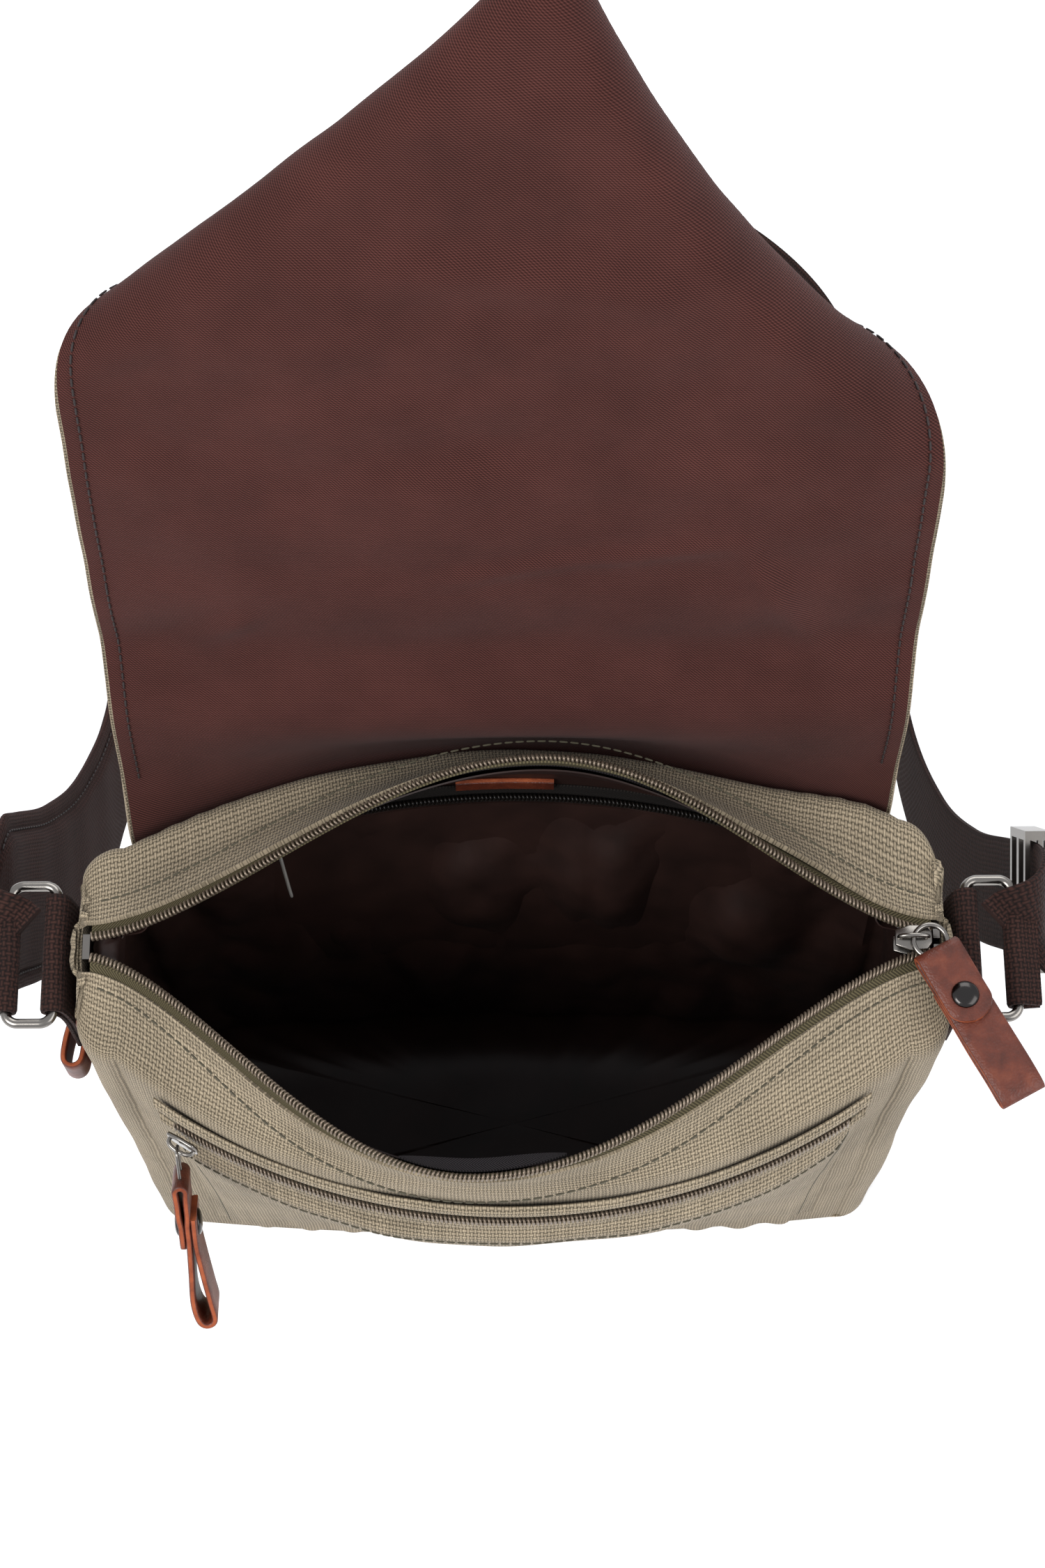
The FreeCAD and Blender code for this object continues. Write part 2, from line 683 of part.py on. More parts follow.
def leather_pull(tongue):
    """A folded strip that points along -Y from an eye at its origin, with a soft fold at its end.

    The tongue is half the width of the part that wraps the wire."""
    half, deep = S["pull_width"] / 2, S["pull_thickness"] / 2
    slab = box_between((-half, -S["pull_length"], -deep), (half, -4.6, deep))
    boss = Part.makeCylinder(2.8, 2 * tongue, Vector(-tongue, 0, 0), Vector(1, 0, 0))
    neck = box_between((-tongue, -5, -deep), (tongue, -1, deep))
    eye = Part.makeCylinder(2.0, 2 * tongue + 2, Vector(-tongue - 1, 0, 0), Vector(1, 0, 0))
    fold = Part.makeCylinder(1.3, 2 * half + 2, Vector(-half - 1, -S["pull_length"] + 3.4, 0),
                             Vector(1, 0, 0))
    rivet_hole = Part.makeCylinder(2.2, 20, Vector(0, -RIVET_AT, -10))
    whole = slab.fuse([boss, neck]).removeSplitter()
    return whole.cut(eye).cut(fold).cut(rivet_hole)


def pull_rivet():
    """A cap on each face and a shank through the leather."""
    radius, deep = S["rivet_diameter"] / 2, S["pull_thickness"] / 2
    shank = Part.makeCylinder(1.9, 2 * deep + 1, Vector(0, -RIVET_AT, -deep - 0.5))
    caps = [
        Part.makeCylinder(radius, 1.2, Vector(0, -RIVET_AT, z)) for z in (deep + 0.1, -deep - 1.3)
    ]
    return shank.fuse(caps).removeSplitter()


MAIN_SLIDER_X = S["zip_half_length"] - 6.5
main_level = S["zip_level"] + 2.8
shaped("main_slider", slider_body(11.4, 8, main_level, S["zip_level"] - 5, 1.0),
       Placement(Vector(MAIN_SLIDER_X, 0, 0), UNTURNED))

# The ring threads the slider's bridge and lies towards the zip's end; the leather hangs on the
# ring's front quarter and points right and forward.
RING_RADIUS = 5.2
ring_turn = Rotation(Vector(0, 0, 1), 72)
pull_turn = Rotation(Vector(0, 0, 1), 28)
ring_eye = Vector(MAIN_SLIDER_X, 0, main_level + 2.7)
ring_way = ring_turn.multVec(Vector(0, -1, 0))
ring_centre = ring_eye + ring_way * RING_RADIUS
shaped("main_pull_ring", Part.makeTorus(RING_RADIUS, 0.8), Placement(ring_centre, ring_turn))
pull_way = pull_turn.multVec(Vector(0, -1, 0))
leather_eye = ring_centre + pull_way * RING_RADIUS
shaped("main_pull_leather", leather_pull(3.0), Placement(leather_eye, pull_turn))
shaped("main_pull_rivet", pull_rivet(), Placement(leather_eye, pull_turn))

# The pocket slider sits at the left end of its arc and faces straight out from the wall.
pocket_angle = -31.0
pocket_level = 220.5
out_turn = Rotation(Vector(0, 0, 1), pocket_angle)
stand_up = Rotation(Vector(1, 0, 0), 90)
slider_radius = ZIP_RADIUS + 2.75
slider_at = Vector(0, ZIP_CENTRE_Y, pocket_level) + out_turn.multVec(Vector(0, -slider_radius, 0))
plates = [
    box_between((-6, -4.2, 2.0), (6, 4.2, 3.4)),
    box_between((-5, -0.4, 3.2), (5, 0.4, 6.3)).cut(box_between((-3.9, -2, 3.4), (3.9, 2, 5.5))),
]
shaped("pocket_slider", plates[0].fuse(plates[1]).removeSplitter(),
       Placement(slider_at, out_turn * stand_up))

# Its pull droops straight ahead of the bag and stands on edge, linked by a long wire loop.
hang = Rotation(Vector(0, 0, 1), 4) * Rotation(Vector(1, 0, 0), 45)
on_edge = hang * Rotation(Vector(0, 1, 0), 90)
link_eye = slider_at + out_turn.multVec(Vector(0, -5.9, 0))
hang_way = hang.multVec(Vector(0, -1, 0))
hang_out = hang.multVec(Vector(0, 0, 1))
LINK_WIDTH, LINK_LENGTH, LINK_WIRE = 6.4, 13, 1.0
LINK_CLEAR = 1.6          # from the bridge's bar to the wire that passes under it
link_shift = (LINK_WIDTH - LINK_WIRE) / 2 - LINK_CLEAR
link_reach = LINK_LENGTH - LINK_WIRE - LINK_CLEAR
link = rounded_frame(LINK_WIDTH, LINK_LENGTH, 1.5, LINK_WIRE)
link_middle = Vector(-link_shift, LINK_CLEAR - (LINK_LENGTH - LINK_WIRE) / 2, 0)
shaped("pocket_pull_link", link, Placement(link_eye + on_edge.multVec(link_middle), on_edge))
pocket_eye = link_eye + hang_way * link_reach + hang_out * link_shift
shaped("pocket_pull_leather", leather_pull(1.4), Placement(pocket_eye, on_edge))
shaped("pocket_pull_rivet", pull_rivet(), Placement(pocket_eye, on_edge))

# The inner pocket's slider faces forward into the bag, at the left end of its zip.
INNER_X = -78
inner_y = lining_face(INNER_X, 207, 1, 3.2)
inner_angle = math.degrees(math.atan2(-INNER_X, inner_y - REAR_CENTRE_Y))
inner_turn = Rotation(Vector(0, 0, 1), inner_angle) * stand_up
inner_plate = box_between((-4.5, -3.4, 0.3), (4.5, 3.4, 1.5))
inner_bridge = box_between((-3.5, -0.4, 1.3), (3.5, 0.4, 4.3)).cut(
    box_between((-2.7, -2, 1.5), (2.7, 2, 3.5))
)
shaped("inner_slider", inner_plate.fuse(inner_bridge).removeSplitter(),
       Placement(Vector(INNER_X, inner_y, 207), inner_turn))
inner_eye = Vector(INNER_X, inner_y, 207) + inner_turn.multVec(Vector(0, 0, 3.9))
inner_hang = Rotation(Vector(0, 0, 1), inner_angle) * Rotation(Vector(1, 0, 0), 62)
inner_hang = inner_hang * Rotation(Vector(0, 1, 0), 90)
INNER_LOOP_WIDTH, INNER_LOOP_LENGTH, INNER_WIRE = 6, 24, 1.0
INNER_CLEAR = 1.4
inner_loop = rounded_frame(INNER_LOOP_WIDTH, INNER_LOOP_LENGTH, 1.4, INNER_WIRE)
loop_middle = Vector(
    INNER_CLEAR - (INNER_LOOP_WIDTH - INNER_WIRE) / 2,
    INNER_CLEAR - (INNER_LOOP_LENGTH - INNER_WIRE) / 2, 0,
)
shaped("inner_pull", inner_loop, Placement(inner_eye + inner_hang.multVec(loop_middle), inner_hang))

# The adjuster is threaded on the right webbing, just behind the side ring.
here, across = Vector(*ROUTE[3][0]), Vector(*ROUTE[3][1]).normalize()
way = (Vector(*ROUTE[4][0]) - Vector(*ROUTE[2][0])).normalize()
face = way.cross(across).normalize()
turned = Rotation(face, across, way, "XYZ")
shaped("strap_adjuster", adjuster_frame, Placement(here, turned))

# ---- checks and files ----

doc.recompute()
for feature in kept:
    bad = [state for state in feature.State if state in ("Invalid", "Error")]
    if bad or feature.Shape.isNull() or not feature.Shape.isValid() or feature.Shape.Volume <= 0:
        raise RuntimeError(f"{feature.Label} did not build: {feature.State}")
os.makedirs("parts", exist_ok=True)
for feature in kept:
    feature.Shape.exportStep(f"parts/{feature.Label}.step")
    print(f"{feature.Label:24s} {feature.Shape.Volume:12.1f} mm3  {len(feature.Shape.Solids)} solid(s)")
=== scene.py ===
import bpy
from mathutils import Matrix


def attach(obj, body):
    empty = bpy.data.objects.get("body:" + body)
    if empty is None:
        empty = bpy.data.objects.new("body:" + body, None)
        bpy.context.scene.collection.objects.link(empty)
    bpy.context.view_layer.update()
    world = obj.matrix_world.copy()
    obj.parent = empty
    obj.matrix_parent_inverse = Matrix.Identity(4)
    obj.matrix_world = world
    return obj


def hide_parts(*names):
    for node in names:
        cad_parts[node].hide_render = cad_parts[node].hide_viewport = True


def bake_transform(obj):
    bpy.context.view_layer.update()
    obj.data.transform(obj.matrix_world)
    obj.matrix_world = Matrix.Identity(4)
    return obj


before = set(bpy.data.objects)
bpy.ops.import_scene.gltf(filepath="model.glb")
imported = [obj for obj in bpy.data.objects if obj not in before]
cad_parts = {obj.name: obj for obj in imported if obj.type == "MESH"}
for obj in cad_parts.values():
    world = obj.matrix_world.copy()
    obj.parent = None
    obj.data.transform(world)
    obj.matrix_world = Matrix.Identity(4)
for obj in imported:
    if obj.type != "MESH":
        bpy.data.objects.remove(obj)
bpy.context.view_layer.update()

import math

import bpy
import numpy as np
from mathutils import Vector

# ---- studio: camera, floor and light ----
# The bag stands on a pale floor under soft light. The camera looks steeply down
# into the open mouth from the front, a little under a metre away.

CAMERA_ELEVATION = math.radians(70.0)
CAMERA_AZIMUTH = math.radians(-0.4)
CAMERA_DISTANCE = 0.942
AIM = Vector((0.0037, 0.0503, 0.25))

away = Vector((
    math.sin(CAMERA_AZIMUTH) * math.cos(CAMERA_ELEVATION),
    -math.cos(CAMERA_AZIMUTH) * math.cos(CAMERA_ELEVATION),
    math.sin(CAMERA_ELEVATION),
))
camera = bpy.data.objects.new("camera", bpy.data.cameras.new("camera"))
camera.data.lens = 68.8
camera.data.sensor_width = 36
camera.location = AIM + away * CAMERA_DISTANCE
camera.rotation_euler = away.to_track_quat("Z", "Y").to_euler()
bpy.context.collection.objects.link(camera)
bpy.context.scene.camera = camera


def linear(hex_colour, alpha=1.0):
    """An sRGB hex colour as linear values."""
    parts = [int(hex_colour[i:i + 2], 16) / 255 for i in (1, 3, 5)]
    return [c / 12.92 if c <= 0.04045 else ((c + 0.055) / 1.055) ** 2.4 for c in parts] + [alpha]


def area_light(name, place, target, size, power, colour="#ffffff"):
    """A soft square lamp that faces its target."""
    lamp = bpy.data.lights.new(name, "AREA")
    lamp.shape, lamp.size, lamp.energy = "SQUARE", size, power
    lamp.color = linear(colour)[:3]
    thing = bpy.data.objects.new(name, lamp)
    thing.location = place
    thing.rotation_euler = (Vector(place) - Vector(target)).to_track_quat("Z", "Y").to_euler()
    bpy.context.collection.objects.link(thing)


area_light("key", (-0.9, -0.7, 1.5), (0, 0.05, 0.25), 0.9, 24)
area_light("fill", (1.2, -0.5, 1.2), (0, 0.05, 0.2), 1.2, 13)
area_light("back", (0.2, 1.5, 1.3), (0, 0.1, 0.2), 1.2, 14)
world = bpy.data.worlds.new("studio")
world.use_nodes = True
world.node_tree.nodes["Background"].inputs["Color"].default_value = linear("#f4f6fb")
world.node_tree.nodes["Background"].inputs["Strength"].default_value = 0.9
bpy.context.scene.world = world
bpy.context.scene.view_settings.view_transform = "Standard"


def node(tree, kind, settings=None, **links):
    """Adds a node: settings are its properties and inputs, links its inputs' sources.

    An input's name has its spaces as underscores; a number picks an input by place."""
    made = tree.nodes.new(kind)
    for key, value in (settings or {}).items():
        if isinstance(key, int) or key in made.inputs:
            made.inputs[key].default_value = value
        else:
            setattr(made, key, value)
    for key, source in links.items():
        place = int(key[1:]) if key[1:].isdigit() else key.replace("_", " ")
        tree.links.new(source, made.inputs[place])
    return made


def new_material(name):
    """A material with its tree, its surface shader and its output, ready for more nodes."""
    material = bpy.data.materials.new(name)
    material.use_nodes = True
    tree = material.node_tree
    return material, tree, tree.nodes["Principled BSDF"]


def feel(shader, **values):
    """Sets a shader's plain inputs; an underscore in a name stands for a space."""
    for key, value in values.items():
        shader.inputs[key.replace("_", " ")].default_value = value


def raise_grain(tree, shader, strength, distance, height):
    """Lets a height bump the shader's surface, up to a distance in metres."""
    raised = node(tree, "ShaderNodeBump", {"Strength": strength, "Distance": distance}, Height=height)
    tree.links.new(raised.outputs[0], shader.inputs["Normal"])


def ramp(tree, source, stops):
    """A colour ramp over a value; stops are (place, hex colour)."""
    made = node(tree, "ShaderNodeValToRGB")
    tree.links.new(source, made.inputs["Fac"])
    points = made.color_ramp.elements
    while len(points) < len(stops):
        points.new(0.5)
    for point, (place, colour) in zip(points, stops):
        point.position, point.color = place, linear(colour)
    return made.outputs["Color"]


def math_node(tree, operation, a, b=0.0, clamp=False):
    """One sum on two values, each a number or another node's output."""
    made = node(tree, "ShaderNodeMath", {"operation": operation, "use_clamp": clamp})
    for place, value in enumerate((a, b)):
        if isinstance(value, (int, float)):
            made.inputs[place].default_value = value
        else:
            tree.links.new(value, made.inputs[place])
    return made.outputs[0]


def times(tree, a, b):
    """The product of two values."""
    return math_node(tree, "MULTIPLY", a, b)


def plus(tree, a, b, clamp=False):
    """The sum of two values."""
    return math_node(tree, "ADD", a, b, clamp)


def new_piece(name, points, faces):
    """A smooth-shaded mesh, put in the scene."""
    mesh = bpy.data.meshes.new(name)
    mesh.from_pydata(points, [], faces)
    mesh.polygons.foreach_set("use_smooth", [True] * len(faces))
    mesh.update()
    piece = bpy.data.objects.new(name, mesh)
    bpy.context.collection.objects.link(piece)
    return piece


def settle(piece, sharp=55):
    """Makes a piece's modifiers final and keeps edges sharper than this angle crisp."""
    bpy.context.view_layer.update()
    made = bpy.data.meshes.new_from_object(piece.evaluated_get(bpy.context.evaluated_depsgraph_get()))
    piece.modifiers.clear()
    piece.data = made
    made.set_sharp_from_angle(angle=math.radians(sharp))
    return piece


def surface(name, points, uv=None, closed=False, thickness=0.0):
    """A mesh over a grid of points (rows, columns, 3); closed joins the last column to the first.

    uv is a grid (rows, columns, 2) in metres of cloth. Thickness grows against the normal."""
    rows, columns = points.shape[:2]
    across = columns if closed else columns - 1
    i, j = np.meshgrid(np.arange(rows - 1), np.arange(across), indexing="ij")
    right = (j + 1) % columns
    quads = np.stack(
        [i * columns + j, i * columns + right, (i + 1) * columns + right, (i + 1) * columns + j],
        axis=-1,
    ).reshape(-1, 4)
    piece = new_piece(name, points.reshape(-1, 3).tolist(), quads.tolist())
    if uv is not None:
        layer = piece.data.uv_layers.new(name="cloth")
        flat = uv.reshape(-1, 2)[quads.reshape(-1)].astype(np.float32)
        if closed:
            seam = np.repeat((j == columns - 1).reshape(-1), 4)
            turned = np.tile([False, True, True, False], len(quads)) & seam
            step = uv[0, -1, 0] + (uv[0, -1, 0] - uv[0, -2, 0])
            flat[turned, 0] = step
        layer.data.foreach_set("uv", flat.reshape(-1))
    if thickness:
        wall = piece.modifiers.new("thickness", "SOLIDIFY")
        wall.thickness, wall.offset = thickness, -1.0
        settle(piece)
    return piece


def dress(piece, material, body, replaces=()):
    """Gives a finished piece its material and its CAD body, and hides the CAD parts it replaces."""
    piece.data.materials.clear()
    piece.data.materials.append(material)
    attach(piece, body)
    if replaces:
        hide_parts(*replaces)
    return piece


def noise(points, size, seed=0.0):
    """Smooth waves from -1 to 1 at each point: a sum of crossed sines of about this size."""
    x, y, z = (points[..., k] * (2 * math.pi / size) for k in range(3))
    total = np.sin(x * 0.91 + 1.7 * np.sin(y * 0.53 + seed) + seed)
    total += np.sin(y * 1.13 + 1.3 * np.sin(z * 0.71 - seed) + 2.1 * seed)
    total += np.sin(z * 0.83 + 1.5 * np.sin(x * 0.67 + seed) - seed)
    return total / 3


floor = surface("floor", np.array([[[x, y, -0.0005] for x in (-6, 6)] for y in (-6, 6)], float))
floor_paint, tree, shader = new_material("matt_white_paper")
feel(shader, Base_Color=linear("#ffffff"), Roughness=0.9)
floor.data.materials.append(floor_paint)

# ---- canvas body ----
# Walls, gussets and top bands are one washed cotton canvas, cut and sewn round the base.
# The open mouth bows the front and rear walls out in arcs and stands the bands up.

END_X, END_Y, CORNER = 0.135, 0.036, 0.012
ARC_X = END_X - CORNER
WALL_TOP = 0.238
CANVAS = 0.0016
FRONT_BULGE, REAR_BULGE, BASE_BULGE = 0.044, 0.031, 0.006
ZIP_HALF, ZIP_LEVEL = 0.131, 0.243
RISE_FRONT, RISE_REAR = 0.020, 0.032
MOUTH_FRONT, MOUTH_REAR = 0.078, 0.050
FRONT_PEAK, REAR_PEAK = -0.012, 0.010
TAPE_SHOW = 0.006


def smooth_step(share):
    """Rises softly from 0 to 1 as the share does."""
    share = np.clip(share, 0, 1)
    return share * share * (3 - 2 * share)


def unit(ways):
    """The same ways, each of length one."""
    return ways / np.linalg.norm(ways, axis=-1, keepdims=True)


def run_along(path):
    """The distance from a path's first point to each of its points."""
    return np.concatenate([[0], np.cumsum(np.linalg.norm(np.diff(path, axis=0), axis=1))])


def cloth_uv(u, v):
    """A grid of UV in metres from the u of its columns and the v of its rows."""
    return np.stack(np.broadcast_arrays(u[None, :], v[:, None]), axis=-1)


def arc_rise(x, sagitta):
    """Height above its chord, between the rounded corners, of an arc with this sagitta."""
    radius = (ARC_X ** 2 + sagitta ** 2) / (2 * sagitta)
    return np.sqrt(radius ** 2 - np.minimum(np.abs(x), ARC_X) ** 2) - (radius - sagitta)


def wall_y(x, level, side):
    """Outer face of the front (side -1) or rear (side +1) wall."""
    top = FRONT_BULGE if side < 0 else REAR_BULGE
    sagitta = BASE_BULGE + (top - BASE_BULGE) * smooth_step(level / 0.212) ** 2
    return side * (END_Y + arc_rise(x, sagitta))


def openness(x, peak):
    """0 at the zip's ends and 1 where the mouth is widest."""
    reach = np.where(x > peak, ZIP_HALF - peak, ZIP_HALF + peak)
    share = np.minimum(np.abs(x - peak) / reach, 1)
    return np.maximum(np.cos(math.pi / 2 * share), 0) ** 1.5


def coil_line(x, side):
    """Middle of the coil row on the front (-1) or rear (+1) edge of the mouth."""
    peak, width, rise = ((FRONT_PEAK, MOUTH_FRONT, RISE_FRONT) if side < 0
                         else (REAR_PEAK, MOUTH_REAR, RISE_REAR))
    share = openness(x, peak)
    y = side * (0.0022 + (width - 0.0022) * share)
    return np.stack([x, y, ZIP_LEVEL + rise * share ** 1.2], axis=-1)


def plan(level, inset=0.0):
    """The closed outline of the bag at one level: front wall, corner, end, corner, rear wall..."""
    flat = END_Y - CORNER
    radius = CORNER - inset
    run = np.linspace(-ARC_X, ARC_X, 97)
    turn = np.linspace(0, math.pi / 2, 11)[1:-1]
    ends = np.linspace(-flat, flat, 19)
    front = np.stack([run, wall_y(run, level, -1) + inset], axis=-1)
    corner = np.stack([ARC_X + radius * np.sin(turn), -flat - radius * np.cos(turn)], axis=-1)
    right = np.stack([np.full_like(ends, END_X - inset), ends], axis=-1)
    half = np.concatenate([front, corner, right, corner[::-1] * [1, -1]])
    rear = np.stack([run[::-1], wall_y(run[::-1], level, 1) - inset], axis=-1)
    left = np.stack([np.full_like(ends, -END_X + inset), ends[::-1]], axis=-1)
    other = np.concatenate([rear, corner * [-1, -1], left, corner[::-1] * [-1, 1]])
    outline = np.concatenate([half, other])
    return np.column_stack([outline, np.full(len(outline), level)])


def band_edge(outline):
    """Where each point of the wall's top is carried to, along the fold beside the zip tape."""
    x = outline[:, 0] * (ZIP_HALF + 0.0022) / END_X
    side = np.where(outline[:, 1] < 0, -1.0, 1.0)
    coil = np.where(side[:, None] < 0, coil_line(x, -1), coil_line(x, 1))
    edge = coil + unit(outline - coil) * TAPE_SHOW
    on_end = np.clip((np.abs(outline[:, 0]) - ARC_X) / CORNER, 0, 1)
    pinch = np.clip(outline[:, 1] / (END_Y - CORNER), -1, 1) * 0.0075
    edge[:, 1] = np.where(on_end >= 1, pinch, edge[:, 1])
    edge[:, 2] = np.where(on_end >= 1, ZIP_LEVEL - 0.0005, edge[:, 2])
    return edge


def corner_bulge(x, y, level):
    """How far the flap's seam pulls the rear right corner back."""
    near = np.exp(-((x - 0.120) / 0.026) ** 2) * smooth_step((y - 0.012) / 0.024)
    return 0.0075 * near * smooth_step((level - 0.10) / 0.12)


wall_levels = np.concatenate([np.linspace(0.0012, 0.222, 60), np.linspace(0.2245, 0.2385, 8)])
wall_rows = np.stack([plan(level) for level in wall_levels])
wall_rows[..., 2] = wall_levels[:, None]
top_outline = wall_rows[-1] + [0, 0, 0.0018]
fold = band_edge(top_outline)
share = np.linspace(0, 1, 26)[1:, None, None]
band_rows = top_outline + (fold - top_outline) * share
band_normal = unit(np.cross(np.roll(fold, -1, 0) - np.roll(fold, 1, 0), top_outline - fold))
band_width = np.linalg.norm(fold - top_outline, axis=1)
dome = np.sin(math.pi * share) * np.clip(band_width / 0.030, 0, 1)[None, :, None] * 0.0030
band_rows = band_rows + band_normal * dome
shell = np.concatenate([wall_rows, band_rows])
turn_row = len(wall_rows)
for step in range(10):
    near = slice(turn_row - 7, turn_row + 6)
    mean = (shell[turn_row - 8:turn_row + 5] + shell[turn_row - 6:turn_row + 7]) / 2
    shell[near] = shell[near] * 0.45 + mean * 0.55

shell[..., 1] += corner_bulge(*np.moveaxis(shell, -1, 0))

# Wear and handling leave the cloth uneven: broad dents in the walls, and short puckers
# across the rear corners, where the flap's seam gathers it.
outward = unit(np.cross(np.roll(shell, -1, 1) - np.roll(shell, 1, 1), np.gradient(shell, axis=0)))
height_share = smooth_step((shell[..., 2] - 0.012) / 0.05)
dents = noise(shell, 0.11, 0.7) * 0.0011 + noise(shell, 0.046, 2.3) * 0.00045
corner_gather = np.exp(-((np.abs(shell[..., 0]) - 0.106) / 0.020) ** 2)
corner_gather *= np.exp(-((shell[..., 2] - 0.247) / 0.010) ** 2) * (shell[..., 1] > 0)
puckers = corner_gather * np.sin(shell[..., 0] * 2 * math.pi / 0.0085) * 0.0006
seam_pull = np.exp(-((np.abs(shell[..., 0]) - ARC_X) / 0.0012) ** 2) * (shell[..., 2] < 0.236)
seam_pull *= np.abs(shell[..., 1]) > 0.030
# The tape holds the band's edge true, so nothing dents it there.
held = smooth_step((len(shell) - 6 - np.arange(len(shell))) / 12)[:, None]
relief = (dents * height_share + puckers) * held - 0.0009 * seam_pull
shell = shell + outward * relief[..., None]

around = np.linalg.norm(np.roll(plan(0.12), -1, 0) - plan(0.12), axis=1)
u_cloth = np.concatenate([[0], np.cumsum(around)[:-1]])
FRONT_MIDDLE = 48  # the column of the outline at the middle of the front wall
body_canvas = surface("body_canvas", shell, cloth_uv(u_cloth, run_along(shell[:, FRONT_MIDDLE])),
                      closed=True, thickness=CANVAS)


def woven(name, pitch, gap, dark, mid, light, slub, bump, roughness, sheen=0.25, rib=1.0, flat=False):
    """Plain-woven cloth on the piece's own UV, in metres, or on x and y if the piece lies flat.

    Each thread is a half wave as wide as the pitch; warp and weft pass over each other in turn,
    so the height is the larger of two crossed waves. Slubs lighten whole threads."""
    material, tree, shader = new_material(name)
    place = node(tree, "ShaderNodeUVMap", {"uv_map": "cloth"}).outputs["UV"]
    if flat:
        place = node(tree, "ShaderNodeTexCoord").outputs["Object"]
    wobble = node(tree, "ShaderNodeTexNoise", {"Scale": 70.0, "Detail": 2.0}, Vector=place)
    offset = node(tree, "ShaderNodeVectorMath", {"operation": "SCALE", "Scale": pitch * 0.9},
                  i0=wobble.outputs["Color"])
    bent = node(tree, "ShaderNodeVectorMath", {"operation": "ADD"}, i0=place, i1=offset.outputs[0])
    split = node(tree, "ShaderNodeSeparateXYZ", i0=bent.outputs[0])
    across = times(tree, split.outputs["X"], 1 / pitch)
    along = times(tree, split.outputs["Y"], 1 / (pitch * rib))
    cell = plus(tree, math_node(tree, "FLOOR", across), math_node(tree, "FLOOR", along))
    over = math_node(tree, "ABSOLUTE", math_node(tree, "MODULO", cell, 2.0))
    under = math_node(tree, "SUBTRACT", 1.0, over)
    threads = []
    for value, on_top in ((across, over), (along, under)):
        wave = math_node(tree, "ABSOLUTE", math_node(tree, "SINE", times(tree, value, math.pi)))
        threads.append(times(tree, wave, plus(tree, 0.55, times(tree, on_top, 0.45))))
    height = math_node(tree, "MAXIMUM", *threads)
    # Every thread has its own shade: noise that changes slowly along it and fast across it.
    shades = []
    for stretch in ((1 / pitch, 12.0, 1.0), (12.0, 1 / (pitch * rib), 1.0)):
        scaled = node(tree, "ShaderNodeVectorMath", {"operation": "MULTIPLY", 1: stretch}, i0=bent.outputs[0])
        shades.append(node(tree, "ShaderNodeTexNoise", {"Scale": 1.0, "Detail": 1.0},
                           Vector=scaled.outputs[0]))
    mixed = node(tree, "ShaderNodeMix", {"data_type": "FLOAT"})
    for source, target in ((over, 0), (shades[0].outputs["Fac"], 2), (shades[1].outputs["Fac"], 3)):
        tree.links.new(source, mixed.inputs[target])
    patch = node(tree, "ShaderNodeTexNoise", {"Scale": 22.0, "Detail": 4.0, "Roughness": 0.6}, Vector=place)
    tone = times(tree, math_node(tree, "SUBTRACT", mixed.outputs[0], 0.5), slub)
    worn_patch = times(tree, math_node(tree, "SUBTRACT", patch.outputs["Fac"], 0.5), 0.35)
    # Painted shade: the colour follows the threads' height, so the crowns are painted lighter and the hollows
    # between threads darker; the slubs and patches are the yarn's own uneven tone.
    level = plus(tree, times(tree, height, gap), plus(tree, tone, worn_patch), clamp=True)
    tree.links.new(ramp(tree, level, ((0.12, dark), (0.58, mid), (0.98, light))), shader.inputs["Base Color"])
    raise_grain(tree, shader, bump, pitch * 0.35, height)
    feel(shader, Roughness=roughness, Sheen_Weight=sheen, Specular_IOR_Level=0.25)
    return material


# Washed cotton canvas, plain woven from uneven yarn about 1.1 mm apart, khaki with pale slubs. Its colour
# also carries painted shade: darker in the hollows between threads, lighter on their crowns.
CANVAS_LOOK = (0.0011, 0.80, "#3d372b", "#7d715e", "#ac9d85", 0.50, 0.75, 0.95, 0.05)
canvas_cloth = woven("washed_cotton_canvas", *CANVAS_LOOK)
base_cloth = woven("washed_canvas_base", *CANVAS_LOOK, flat=True)


def repaint(name, material):
    """Gives one of the CAD pieces a single material all over."""
    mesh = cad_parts[name].data
    mesh.materials.clear()
    mesh.materials.append(material)
    for face in mesh.polygons:
        face.material_index = 0


repaint("base_panel", base_cloth)
dress(body_canvas, canvas_cloth, "bag", (
    "front_panel", "rear_panel", "left_gusset", "right_gusset", "front_top_band", "rear_top_band",
))


def band_frame(x, side):
    """On one edge of the mouth: coil line, the way down the band, its outward normal, its width."""
    coil = coil_line(x, side)
    root_y = np.where(
        np.abs(x) <= ARC_X, np.abs(wall_y(x, 0.24, side)),
        END_Y - CORNER + np.sqrt(np.maximum(CORNER ** 2 - (np.abs(x) - ARC_X) ** 2, 0)),
    )
    root = np.stack([x, side * root_y, np.full_like(x, 0.24)], axis=-1)
    way = root - coil
    width = np.linalg.norm(way, axis=-1, keepdims=True)
    way = way / width
    normal = unit(np.cross(np.gradient(coil, axis=0), way) * -side)
    normal *= np.where(normal @ np.array([0, side, 0.5]) < 0, -1, 1)[..., None]
    return coil, way, normal, width


def join(*rows):
    """A grid of points from its rows."""
    return np.stack(rows, axis=0)


